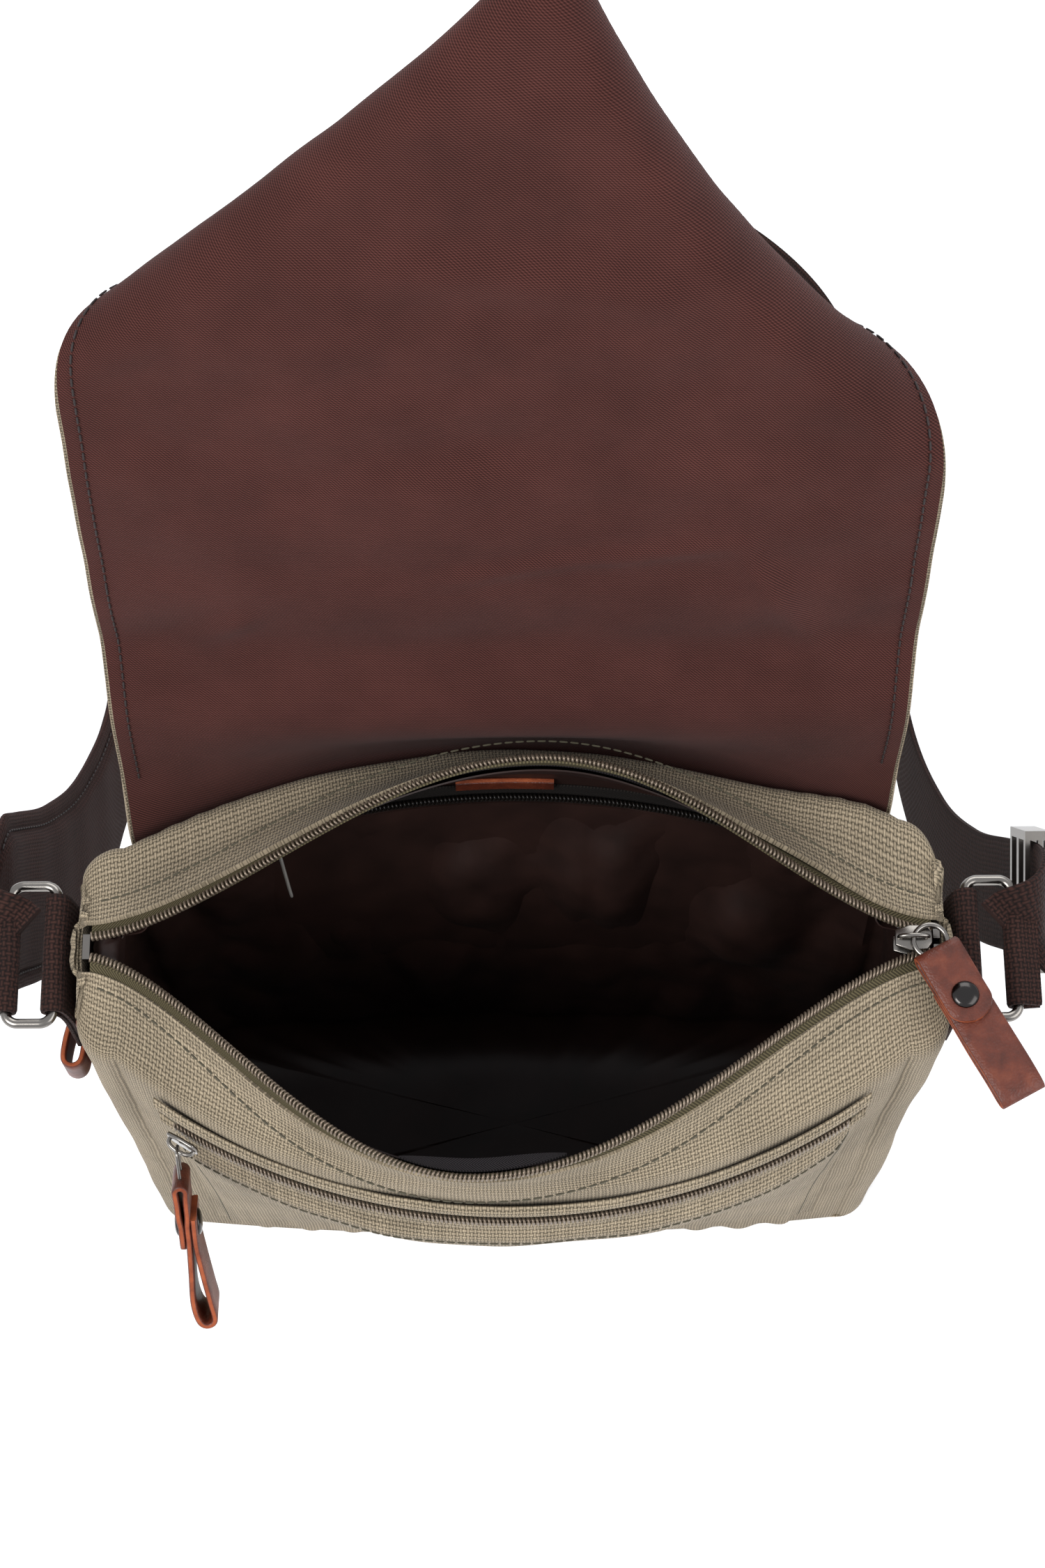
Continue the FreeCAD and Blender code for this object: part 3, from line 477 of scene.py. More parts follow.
def capsules(name, places, ways, length, radius, sides=6):
    """Many small rounded rods, each centred on a place and lying along its way: stitches."""
    ways = unit(ways)
    helper = np.where(np.abs(ways[:, 2:]) > 0.9, [[1.0, 0, 0]], [[0, 0, 1.0]])
    side = unit(np.cross(ways, helper))
    other = np.cross(ways, side)
    steps = np.array([-0.5, -0.36, 0.36, 0.5]) * length
    girth = np.array([0.35, 1.0, 1.0, 0.35]) * radius
    turn = np.arange(sides) * 2 * math.pi / sides
    ring = side[:, None, :] * np.cos(turn)[None, :, None] + other[:, None, :] * np.sin(turn)[None, :, None]
    points = (places[:, None, None, :] + ways[:, None, None, :] * steps[None, :, None, None]
              + ring[:, None, :, :] * girth[None, :, None, None])
    faces = []
    for k in range(3):
        for m in range(sides):
            n = (m + 1) % sides
            faces.append((k * sides + m, k * sides + n, (k + 1) * sides + n, (k + 1) * sides + m))
    caps = [tuple(range(sides))[::-1], tuple(range(3 * sides, 4 * sides))]
    stride = 4 * sides
    all_faces = []
    for c in range(len(places)):
        all_faces += [tuple(v + c * stride for v in face) for face in faces + caps]
    return new_piece(name, points.reshape(-1, 3).tolist(), all_faces)


def evenly(path, gap):
    """Points every gap along a path, and the path's way there."""
    run = run_along(path)
    marks = np.arange(gap / 2, run[-1], gap)
    places, ahead, behind = (
        np.stack([np.interp(marks + gap * shift, run, path[:, k]) for k in range(3)], axis=1)
        for shift in (0, 0.2, -0.2)
    )
    return places, ahead - behind


STITCH_GAP, STITCH_LENGTH, STITCH_RADIUS = 0.0034, 0.0027, 0.00034


def stitching(name, path, material, body):
    """A row of stitches along a path that lies on the cloth."""
    places, ways = evenly(path, STITCH_GAP)
    return dress(capsules(name, places, ways, STITCH_LENGTH, STITCH_RADIUS), material, body)


def plain(name, colour, roughness, metallic=0.0, specular=0.5):
    """A material of one colour, with its tree and its shader."""
    material, tree, shader = new_material(name)
    feel(shader, Base_Color=linear(colour), Roughness=roughness, Metallic=metallic,
         Specular_IOR_Level=specular)
    return material, tree, shader


def worn(tree, shader, scale, low, high):
    """Lets noise in object space shade a plain material between two colours."""
    place = node(tree, "ShaderNodeTexCoord").outputs["Object"]
    grain = node(tree, "ShaderNodeTexNoise", {"Scale": scale, "Detail": 5.0}, Vector=place)
    tree.links.new(ramp(tree, grain.outputs["Fac"], ((0.3, low), (0.7, high))),
                   shader.inputs["Base Color"])


# Khaki polyester sewing thread.
khaki_thread = plain("khaki_thread", "#3f3a2b", 0.8)[0]
# Brown sewing thread on the flap's lining and the dark pieces.
brown_thread = plain("brown_thread", "#1d1211", 0.7)[0]

TOPSTITCH = TAPE_SHOW + 0.005
NARROWEST_BAND = 0.019
run = np.linspace(-0.128, 0.128, 200)
for side, name in ((-1, "front"), (1, "rear")):
    coil, way, normal, width = band_frame(run, side)
    doming = 0.003 * np.sin(math.pi * np.clip(TOPSTITCH / width, 0, 1))
    path = coil + way * TOPSTITCH + normal * (0.0016 + doming)
    stitching(f"{name}_band_topstitch", path[width[:, 0] > NARROWEST_BAND], khaki_thread, "bag")

# ---- main zip ----
# Two open rows of bronze-coloured nylon coil, number 5, sewn to brown herringbone tape. The
# tape is sewn under the folded edge of each canvas band.

COIL_PITCH = 0.00135


def coil_row(name, path, across, up, half_width, half_height, wire, pitch=COIL_PITCH):
    """A flattened helix of round wire about a path, one turn to each pitch."""
    length = run_along(path)
    turns = int(length[-1] / pitch)
    marks = np.linspace(0, turns, turns * 10 + 1)

    def on_path(values):
        """Values given at the path's points, read at every mark."""
        return np.stack([np.interp(marks * pitch, length, values[:, k]) for k in range(3)], axis=1)

    angle = marks[:, None] * 2 * math.pi
    wide, high = on_path(across), on_path(up)
    centre = on_path(path) + wide * np.cos(angle) * half_width + high * np.sin(angle) * half_height
    ahead = unit(np.gradient(centre, axis=0))
    out = wide * np.cos(angle) + high * np.sin(angle)
    out = unit(out - ahead * np.sum(out * ahead, axis=1, keepdims=True))
    third = np.cross(ahead, out)
    ring = np.arange(6) * math.pi / 3
    points = centre[:, None] + (out[:, None] * np.cos(ring)[None, :, None]
                                + third[:, None] * np.sin(ring)[None, :, None]) * wire
    return surface(name, points, closed=True)


# Bronze-brown nylon coil with a slight metallic shine.
coil_nylon = plain("bronze_nylon_coil", "#776a5c", 0.30, 0.6)[0]


def herringbone(name, low, high, rib=0.0011):
    """Woven tape: fine slanted ribs that turn back every few millimetres along the tape."""
    material, tree, shader = new_material(name)
    place = node(tree, "ShaderNodeUVMap", {"uv_map": "cloth"}).outputs["UV"]
    split = node(tree, "ShaderNodeSeparateXYZ", i0=place)
    folded = math_node(tree, "PINGPONG", split.outputs["Y"], 0.0025)
    slanted = plus(tree, split.outputs["X"], folded)
    wave = math_node(tree, "SINE", times(tree, slanted, 2 * math.pi / rib))
    level = plus(tree, times(tree, wave, 0.5), 0.5)
    # Painted shade: the colour follows the ribs' height, darker in the troughs between ribs and lighter on
    # their crests.
    tree.links.new(ramp(tree, level, ((0.0, low), (1.0, high))), shader.inputs["Base Color"])
    raise_grain(tree, shader, 0.7, 0.0003, level)
    feel(shader, Roughness=0.85, Specular_IOR_Level=0.2)
    return material


# Olive-brown polyester zip tape, woven in a herringbone; its darker colour is painted shade in the troughs
# between the ribs.
zip_tape = herringbone("olive_brown_zip_tape", "#2f2a1d", "#5d553e")


def lengthwise_uv(points):
    """UV in metres on a grid whose columns run along the piece and rows run across it."""
    middle = points.shape[1] // 2
    return cloth_uv(run_along(points[0]), run_along(points[:, middle]))


run = np.linspace(-ZIP_HALF, ZIP_HALF, 240)
for side, name in ((-1, "front"), (1, "rear")):
    coil, way, normal, width = band_frame(run, side)
    reach = np.minimum(0.0105, width * 0.55)
    tape_rows = join(*(coil + way * (0.0008 + (reach - 0.0008) * t) - normal * (0.0012 + 0.0016 * t ** 2)
                       for t in np.linspace(0, 1, 8)))
    tape_piece = surface(f"{name}_tape_cloth", tape_rows, lengthwise_uv(tape_rows), thickness=0.0007)
    dress(tape_piece, zip_tape, "bag", (f"{name}_zip_tape",))
    row = coil_row(f"{name}_coil_row", coil + way * 0.0012 - normal * 0.0002, way, normal,
                   0.00125, 0.00085, 0.00042)
    dress(row, coil_nylon, "bag", (f"{name}_zip_coil",))

# ---- lining ----
# Loose dark satin, sewn in under the zip tape and dropped into the canvas body.

under_band = smooth_step((shell[..., 2] - 0.205) / 0.03) * 0.0010
LINED = slice(6, len(shell) - 3)  # the rows of the body that the lining follows
inner_rows = (shell - outward * (0.0027 + under_band)[..., None])[LINED]
calm = np.exp(-(inner_rows[..., 0] / 0.11) ** 8) * (inner_rows[..., 1] > 0)
calm = calm * smooth_step((inner_rows[..., 2] - 0.185) / 0.02)
loose = smooth_step((0.236 - inner_rows[..., 2]) / 0.03) * (1 - calm)
loose = loose * smooth_step((inner_rows[..., 2] - 0.010) / 0.035)
wrinkle = np.abs(noise(inner_rows * [1, 1, 0.35], 0.043, 4.1)) * 0.0048
wrinkle += np.abs(noise(inner_rows * [1, 1, 0.55], 0.021, 1.2)) * 0.0016
lumps = np.zeros(inner_rows.shape[:2])
for lump_x, lump_z in ((-0.012, 0.150), (0.030, 0.155), (0.082, 0.130)):
    near = ((inner_rows[..., 0] - lump_x) / 0.017) ** 2 + ((inner_rows[..., 2] - lump_z) / 0.028) ** 2
    lumps += 0.010 * np.exp(-near ** 1.6) * (inner_rows[..., 1] > 0)
wrinkle = wrinkle + lumps
inner_rows = inner_rows - outward[LINED] * (wrinkle * loose)[..., None]
# At the zip's ends the lining is drawn in, well clear of the pinched bands.
tuck = smooth_step((np.abs(inner_rows[..., 0]) - 0.110) / 0.016)
tuck *= smooth_step((inner_rows[..., 2] - 0.218) / 0.014)
inner_rows = inner_rows + tuck[..., None] * (inner_rows * [-0.065, -0.30, 0] - [0, 0, 0.0045])
FLOOR_LEVEL = 0.0056
bottom = inner_rows[0].copy()
floor_rows = []
for t in np.linspace(1, 0, 14)[:-1]:
    ring = bottom * [t, t, 1]
    waves = 0.0008 * noise(ring, 0.05, 2.0) * (1 - t)
    ring[:, 2] = FLOOR_LEVEL + (bottom[:, 2] - FLOOR_LEVEL) * t ** 6 + waves
    floor_rows.append(ring)
floor_rows.append(np.column_stack([bottom[:, :2] * 0.001, np.full(len(bottom), FLOOR_LEVEL)]))
lining_rows = np.concatenate([np.stack(floor_rows[::-1]), inner_rows[1:]])
lining_uv = cloth_uv(u_cloth, run_along(lining_rows[:, FRONT_MIDDLE]))
lining_piece = surface("satin_lining", lining_rows, lining_uv, closed=True, thickness=0.0005)

# Near-black brown polyester satin, a little shiny along its folds.
satin, tree, shader = plain("dark_brown_satin", "#1a1312", 0.5, specular=0.3)
worn(tree, shader, 60.0, "#1e120f", "#2b1b17")
dress(lining_piece, satin, "bag", ("lining",))


def inside_wall(x, level, side, depth):
    """A point on the lining's face, or depth off it towards the middle of the bag."""
    return np.stack([x, wall_y(x, level, side) - side * (0.0030 + depth), level + 0 * x], axis=-1)


def wall_piece(name, side, half, low, high, lift, rows=16, middle=0.0, thickness=0.0007):
    """A grid over a rectangle of the inside wall; lift(x share, height share) is its depth."""
    x, level = np.meshgrid(np.linspace(middle - half, middle + half, 81), np.linspace(low, high, rows))
    share_x, share_z = (x - middle) / half, (level - low) / (high - low)
    points = inside_wall(x, level, side, lift(share_x, share_z))
    return surface(name, points, lengthwise_uv(points), thickness=thickness)


pouch = wall_piece("inner_pouch", 1, 0.092, 0.096, 0.199,
                   lambda a, b: 0.0012 + 0.004 * (1 - a ** 4) * np.sin(math.pi * b) ** 0.7, 24)
dress(pouch, satin, "bag", ("inner_pocket_pouch",))
slip = wall_piece("slip_pocket_cloth", -1, 0.080, 0.060, 0.165,
                  lambda a, b: 0.0012 + 0.007 * (1 - a ** 4) * b ** 1.5, 24)
dress(slip, satin, "bag", ("slip_pocket",))
inner_tape = wall_piece("inner_tape", 1, 0.092, 0.200, 0.214, lambda a, b: 0.0010 + 0 * a, 6)
# Near-black zip tape inside the bag.
black_tape = herringbone("black_zip_tape", "#0d0b0a", "#221d1a")
dress(inner_tape, black_tape, "bag", ("inner_pocket_tape",))
along = np.linspace(-0.090, 0.090, 120)
inner_path = inside_wall(along, 0.207, 1, 0.0026)
upward = np.tile([0, 0, 1.0], (120, 1))
inward = np.tile([0, -1.0, 0], (120, 1))
dark_coil = plain("black_nylon_coil", "#16120f", 0.35, 0.2)[0]
dress(coil_row("inner_coil_row", inner_path, upward, inward, 0.0013, 0.0008, 0.0004),
      dark_coil, "bag", ("inner_pocket_coil",))

# Black grosgrain ribbon binds the middle of each band's edge on the inside.
grosgrain = herringbone("black_grosgrain", "#121011", "#2e2a2c", 0.0009)
for side, name, half in ((-1, "front", 0.056), (1, "rear", 0.050)):
    run = np.linspace(-half, half, 80)
    coil, way, normal, width = band_frame(run, side)
    span = (0.0085, 0.0155) if side < 0 else (0.011, 0.027)
    depth = (0.0030 + 0.0014 * np.abs(run / 0.050) ** 3)[:, None]
    rows = join(*(coil + way * t - normal * depth for t in np.linspace(*span, 8)))
    piece = surface(f"{name}_grosgrain", rows, lengthwise_uv(rows), thickness=0.0008)
    dress(piece, grosgrain, "bag", (f"{name}_binding",))
# A short run of the front ribbon stands out from under the coil, into the mouth.
run = np.linspace(-0.034, 0.016, 60)
coil = coil_line(run, -1) + [0, 0.0024, -0.0016]
reach = 0.0050 * np.maximum(1 - (np.abs(run + 0.009) / 0.0255) ** 3, 0.02)
rows = join(*(coil + reach[:, None] * t * np.array([0, 0.85, -0.52]) for t in np.linspace(0, 1, 6)))
dress(surface("front_grosgrain_edge", rows, lengthwise_uv(rows), thickness=0.0008),
      grosgrain, "bag")

# ---- flap ----
# Brown twill inside and canvas outside, sewn and turned. It is held up by the middle of its
# free edge, so that both upper corners roll over backwards along slanting folds.

FLAP_HALF, HINGE_Y, HINGE_Z = 0.121, 0.053, 0.284
LEAN = math.radians(20)
UPPER, LOWER = 0.134, 0.151
SEAM = 0.048
UP_FLAP = np.array([0, math.sin(LEAN), math.cos(LEAN)])
BEHIND_FLAP = np.array([0, math.cos(LEAN), -math.sin(LEAN)])
# Each fold: a point on it, its way along the flap, the side it rolls to, how far it curves in
# and how loosely it rolls. The right corner lies behind the left one, so it rolls more loosely.
FOLDS = (
    (np.array([-0.118, 0.153]), np.array([0.113, 0.107]), np.array([-0.107, 0.113]), 0.002, 1.0),
    (np.array([0.121, 0.118]), np.array([-0.101, 0.144]), np.array([0.144, 0.101]), 0.010, 1.45),
)
ROLL_RADIUS = 0.0085
ROLL_TURN = math.radians(164)


def crease(x, climb, start, end, width, height):
    """A soft ridge of cloth along a line from start to end, fading at both ends."""
    way = np.array(end) - np.array(start)
    length = np.linalg.norm(way)
    way = way / length
    along = (x - start[0]) * way[0] + (climb - start[1]) * way[1]
    off = (climb - start[1]) * way[0] - (x - start[0]) * way[1]
    fade = smooth_step(along / length * 4) * smooth_step((1 - along / length) * 4)
    return height * np.exp(-(off / width) ** 2) * fade


# Each crease in the flap: where it starts and ends, its width and how far back it stands.
CREASES = (
    ((-0.030, 0.072), (0.075, 0.090), 0.0035, -0.0016),
    ((0.062, 0.095), (0.104, 0.006), 0.0045, -0.0026),
    ((-0.118, 0.010), (-0.070, 0.060), 0.0055, -0.0026),
    ((-0.100, 0.004), (-0.030, 0.030), 0.0060, 0.0024),
    ((-0.040, 0.190), (0.060, 0.175), 0.0070, -0.0016),
    ((-0.080, 0.110), (0.020, 0.130), 0.0100, 0.0018),
)


def flap_depth(x, climb):
    """How far the cloth stands behind the flap's plane: a soft bow, folds and creases."""
    up = np.clip(climb / (UPPER + LOWER), 0, 1)
    depth = -0.006 * np.sin(math.pi * up) + 0.0075 * np.exp(-((climb - 0.036) / 0.017) ** 2)
    depth = depth + 0.004 * (np.abs(x) / FLAP_HALF) ** 3 * np.sin(math.pi * np.clip(climb / 0.17, 0, 1))
    for line in CREASES:
        depth += crease(x, climb, *line)
    wave = np.stack([x, climb, 0 * x], axis=-1)
    return depth + 0.0020 * noise(wave, 0.075, 1.1) + 0.0006 * noise(wave, 0.027, 3.0)


def flap_points(x, climb, behind=0.0):
    """The flap's cloth in the row frame, softened where it bends back above its seam."""
    offsets = np.linspace(-1, 1, 9)
    reach = 0.020 * smooth_step((0.060 - climb) / 0.035) * smooth_step((climb + SEAM) / 0.02)
    weights = np.cos(offsets * math.pi / 2) + 0.05
    total = sum(w * sharp_flap(x, climb + reach * o, behind) for o, w in zip(offsets, weights))
    return total / weights.sum()


def sharp_flap(x, climb, behind):
    """The flap in its flat place (x, climb) carried to the row frame; behind moves off its face.

    Beyond each fold the cloth rolls about a cylinder along the fold and then hangs straight."""
    flat = np.stack([x, climb], axis=-1)
    shift = np.zeros(x.shape + (2,))
    depth = np.zeros(x.shape)
    face_plane = np.zeros(x.shape + (2,))
    face_depth = np.ones(x.shape)
    for point, way, out, sag, looseness in FOLDS:
        length = np.linalg.norm(way)
        way, out = way / length, out / np.linalg.norm(out)
        along = (flat - point) @ way / length
        beyond = (flat - point) @ out + ROLL_RADIUS + sag * np.sin(math.pi * np.clip(along, 0, 1))
        radius = ROLL_RADIUS * (1 + 0.5 * np.clip(1 - along, -0.4, 1))
        beyond = np.maximum(beyond, 0)
        angle = np.minimum(beyond / radius, ROLL_TURN)
        rest = np.maximum(beyond - radius * ROLL_TURN, 0)
        in_plane = radius * np.sin(angle) + rest * math.cos(ROLL_TURN)
        back = looseness * radius * (1 - np.cos(angle)) + rest * math.sin(ROLL_TURN)
        shift += (in_plane - beyond)[..., None] * out
        depth += back
        turned = np.where(beyond > 0, angle, 0)
        face_plane -= np.sin(turned)[..., None] * out
        face_depth = np.where(beyond > 0, np.cos(turned), face_depth)
    plane = flat + shift + face_plane * behind
    depth = depth + face_depth * behind
    climbing = np.maximum(climb, 0)
    depth = depth + flap_depth(x, climbing) * smooth_step(climb / 0.03)
    points = np.empty(x.shape + (3,))
    points[..., 0] = plane[..., 0]
    above = np.where(climb > 0, plane[..., 1], 0)
    points[..., 1] = HINGE_Y + above * UP_FLAP[1] + depth * BEHIND_FLAP[1]
    points[..., 2] = HINGE_Z + above * UP_FLAP[2] + depth * BEHIND_FLAP[2]
    low = np.clip(-climb / SEAM, 0, 1)
    seam_y = wall_y(x, WALL_TOP, 1) + corner_bulge(x, 0.036, WALL_TOP) + 0.0002 + behind
    root_y = points[..., 1] + (seam_y - points[..., 1]) * smooth_step(low * 1.15)
    root_y += 0.003 * np.sin(math.pi * low)
    points[..., 1] = np.where(climb < 0, root_y, points[..., 1])
    points[..., 2] = np.where(climb < 0, points[..., 2] + climb * 1.20, points[..., 2])
    return points


def flap_surface(name, low, high, behind, thickness, edge):
    """One layer of the flap between two climbs; edge is how much narrower it is at each side."""
    rows = int(round((high - low) / 0.0022)) + 1
    across = np.linspace(-FLAP_HALF + edge, FLAP_HALF - edge, 121)
    x, climb = np.meshgrid(across, np.linspace(low, high, rows))
    points = flap_points(x, climb, behind)
    return surface(name, points, np.stack([x, climb], axis=-1), thickness=thickness)


# Reddish-brown cotton twill: slanting ribs 1 mm apart along the cloth, crossed by finer weft.
twill, tree, shader = new_material("brown_cotton_twill")
place = node(tree, "ShaderNodeUVMap", {"uv_map": "cloth"}).outputs["UV"]
wobble = node(tree, "ShaderNodeTexNoise", {"Scale": 120.0, "Detail": 2.0}, Vector=place)
split = node(tree, "ShaderNodeSeparateXYZ", i0=place)
slant = plus(tree, split.outputs["X"], split.outputs["Y"])
slant = plus(tree, slant, times(tree, wobble.outputs["Fac"], 0.0006))
rib = math_node(tree, "SINE", times(tree, slant, 2 * math.pi / 0.0010))
cross = math_node(tree, "SINE", times(tree, split.outputs["Y"], 2 * math.pi / 0.0007))
weave = plus(tree, times(tree, rib, 0.30), times(tree, cross, 0.14))
cloudy = node(tree, "ShaderNodeTexNoise", {"Scale": 26.0, "Detail": 6.0, "Roughness": 0.62}, Vector=place)
# Painted shade: the colour follows the ribs' and weft's height, darker in their troughs; the cloudy noise is
# the cloth's own uneven tone.
level = plus(tree, plus(tree, times(tree, cloudy.outputs["Fac"], 0.5), 0.25), weave, clamp=True)
tree.links.new(ramp(tree, level, ((0.15, "#240f0c"), (0.5, "#3b1e1a"), (0.95, "#54302b"))),
               shader.inputs["Base Color"])
raise_grain(tree, shader, 0.5, 0.0003, weave)
feel(shader, Roughness=0.85, Sheen_Weight=0.02, Specular_IOR_Level=0.12)

MEET = 0.066  # the climb at which the flap's two pieces of cloth meet
FLAP_HEM = 0.0055
for part, low, high in (("root", -SEAM, MEET), ("top", MEET, UPPER + LOWER)):
    is_root = part == "root"
    lining_cloth = flap_surface(f"flap_{part}_twill", low, high, 0.0, 0.0006, 0.0012)
    canvas_back = flap_surface(f"flap_{part}_outer", low, high, 0.0009, CANVAS, 0.0)
    stitch_run = np.linspace(max(low, -0.02), high - (0.0 if is_root else 0.005), 160)
    rows = []
    for side in (-1, 1):
        edge = np.full_like(stitch_run, side * (FLAP_HALF - FLAP_HEM))
        rows.append(evenly(flap_points(edge, stitch_run, -0.0003), STITCH_GAP))
    if not is_root:
        edge = np.linspace(-FLAP_HALF + FLAP_HEM, FLAP_HALF - FLAP_HEM, 160)
        rows.append(evenly(flap_points(edge, np.full_like(edge, high - FLAP_HEM), -0.0003), STITCH_GAP))
    places = np.concatenate([row[0] for row in rows])
    ways = np.concatenate([row[1] for row in rows])
    hem = capsules(f"flap_{part}_stitches", places, ways, STITCH_LENGTH, STITCH_RADIUS)
    pieces = ((lining_cloth, twill, "twill"), (canvas_back, canvas_cloth, "canvas"),
              (hem, brown_thread, "twill"))
    for piece, material, slot_name in pieces:
        piece.data.materials.append(material)
        if is_root:
            start = flap_points(np.array([0.0]), np.array([-0.010]))[0]
            end = flap_points(np.array([0.0]), np.array([0.030]))[0]
            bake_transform(piece)
        else:
            start = flap_points(np.array([0.0]), np.array([0.120]))[0]
            end = flap_points(np.array([0.0]), np.array([0.148]))[0]
            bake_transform(piece)
    if is_root:
        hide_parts("flap_root", "flap_upper_canvas")
        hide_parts("flap_upper_lining")
    else:
        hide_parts("flap_lower_canvas", "flap_corner_left", "flap_corner_right")
        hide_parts("flap_lower_lining")

# ---- front pocket ----
# A flat patch pocket of the same canvas, gathered a little so that it stands off the front
# wall; its zip runs above it in the same bow as the wall.

POCKET_HALF, POCKET_LOW, POCKET_TOP, POCKET_DEPTH = 0.112, 0.018, 0.212, 0.0055


def on_front(x, level, off):
    """A point off the front wall's face."""
    return np.stack([x, wall_y(x, level, -1) - off, level], axis=-1)


x, level = np.meshgrid(np.linspace(-POCKET_HALF, POCKET_HALF, 201),
                       np.linspace(POCKET_LOW, POCKET_TOP, 141))
side_edge = smooth_step((POCKET_HALF - np.abs(x)) / 0.012)
low_edge = smooth_step((level - POCKET_LOW) / 0.012)
top_edge = smooth_step((POCKET_TOP - level) / 0.007)
waves = np.stack([x, 0 * x, level], axis=-1)
gather = np.exp(-((level - POCKET_LOW) / 0.03) ** 2) * np.sin(x * 2 * math.pi / 0.016) * 0.0008
off = 0.0006 + (0.0015 + POCKET_DEPTH * (0.75 + 0.25 * np.sin(math.pi * (level - POCKET_LOW) / 0.194))) * (
    side_edge * low_edge * (0.25 + 0.75 * top_edge))
creases = noise(waves, 0.09, 5.0) * 0.0013 + noise(waves, 0.035, 0.4) * 0.0005 + gather
off = off + creases * side_edge * low_edge * top_edge
pocket_points = on_front(x, level, off)
pocket_cloth = surface("pocket_canvas", pocket_points, np.stack([x, level], axis=-1), thickness=CANVAS)
dress(pocket_cloth, canvas_cloth, "bag", ("front_pocket",))


def pocket_line(x, level, lift=0.0002):
    """Points just off the pocket's face, for its stitches."""
    column = (x + POCKET_HALF) / (2 * POCKET_HALF) * 200
    row = (level - POCKET_LOW) / (POCKET_TOP - POCKET_LOW) * 140
    depth = off[np.rint(row).astype(int), np.rint(column).astype(int)]
    return on_front(x, level, depth + lift)


inset = 0.006
left = np.full(60, -POCKET_HALF + inset)
rise = np.linspace(POCKET_LOW + inset, POCKET_TOP - 0.004, 60)
across = np.linspace(-POCKET_HALF + inset, POCKET_HALF - inset, 120)
pocket_lines = [
    pocket_line(left, rise[::-1]), pocket_line(across, np.full(120, POCKET_LOW + inset)),
    pocket_line(-left, rise), pocket_line(across[::-1], np.full(120, POCKET_TOP - 0.009)),
]
rows = [evenly(path, STITCH_GAP) for path in pocket_lines]
hem = capsules("pocket_stitches", np.concatenate([r[0] for r in rows]),
               np.concatenate([r[1] for r in rows]), STITCH_LENGTH, STITCH_RADIUS)
dress(hem, khaki_thread, "bag")

TAPE_LOW, TAPE_HEIGHT = 0.2125, 0.016
x, level = np.meshgrid(np.linspace(-0.108, 0.108, 121),
                       np.linspace(TAPE_LOW, TAPE_LOW + TAPE_HEIGHT, 10))
tape_points = on_front(x, level, 0.0006 + 0.0009 * np.sin(math.pi * (level - TAPE_LOW) / TAPE_HEIGHT) ** 0.5)
dress(surface("pocket_tape_cloth", tape_points, lengthwise_uv(tape_points), thickness=0.0006),
      zip_tape, "bag", ("pocket_zip_tape",))
along = np.linspace(-0.1055, 0.1055, 160)
for name, level in (("lower", 0.2195), ("upper", 0.2215)):
    path = on_front(along, np.full(160, level), 0.0026)
    row = coil_row(f"pocket_coil_{name}", path, np.tile([0, 0, 1.0], (160, 1)),
                   np.tile([0, -1.0, 0], (160, 1)), 0.0012, 0.0009, 0.00042)
    dress(row, coil_nylon, "bag", ("pocket_zip_coil",) if name == "lower" else ())
# Folded canvas lips run along both edges of the pocket's tape.
for name, low, high in (("lower", 0.2090, 0.2150), ("upper", 0.2262, 0.2335)):
    x, level = np.meshgrid(np.linspace(-0.111, 0.111, 161), np.linspace(low, high, 9))
    share = (level - low) / (high - low)
    points = on_front(x, level, 0.0009 + 0.0022 * np.sin(math.pi * share) ** 0.6)
    lip = surface(f"pocket_lip_{name}", points, np.stack([x, level], axis=-1), thickness=0.0008)
    dress(lip, canvas_cloth, "bag")

# ---- metal fittings ----
# Gunmetal-plated zinc: sliders, wire rings, the strap's adjuster and the rivet caps.

gunmetal = plain("gunmetal_plate", "#7d7974", 0.24, 1.0)[0]
black_nickel = plain("black_nickel", "#3c3a39", 0.18, 1.0)[0]


def rounded(name, low, high, radius, segments=3):
    """A block with rounded edges, between two corners."""
    corners = np.array([[x, y, z] for x in (0, 1) for y in (0, 1) for z in (0, 1)], float)
    points = np.array(low) + corners * (np.array(high) - np.array(low))
    faces = [(0, 1, 3, 2), (4, 6, 7, 5), (0, 4, 5, 1), (2, 3, 7, 6), (0, 2, 6, 4), (1, 5, 7, 3)]
    piece = new_piece(name, points.tolist(), faces)
    bevel = piece.modifiers.new("edges", "BEVEL")
    bevel.width, bevel.segments, bevel.limit_method = radius, segments, "NONE"
    return settle(piece, 40)


def gather_pieces(name, parts):
    """Joins several meshes into one piece."""
    points, faces = [], []
    for part in parts:
        base = len(points)
        points += [tuple(part.matrix_world @ v.co) for v in part.data.vertices]
        faces += [tuple(i + base for i in face.vertices) for face in part.data.polygons]
        bpy.data.objects.remove(part)
    piece = new_piece(name, points, faces)
    piece.data.set_sharp_from_angle(angle=math.radians(45))
    return piece


def carry(piece, origin, x_way, y_way):
    """Moves a mesh drawn about the origin to a place, with its X and Y along two ways."""
    x_way = unit(np.array(x_way, float))
    y_way = unit(np.array(y_way, float) - x_way * np.dot(x_way, y_way))
    z_way = np.cross(x_way, y_way)
    points = np.empty(len(piece.data.vertices) * 3)
    piece.data.vertices.foreach_get("co", points)
    points = points.reshape(-1, 3) @ np.array([x_way, y_way, z_way]) + np.array(origin)
    piece.data.vertices.foreach_set("co", points.reshape(-1))
    piece.data.update()
    return piece


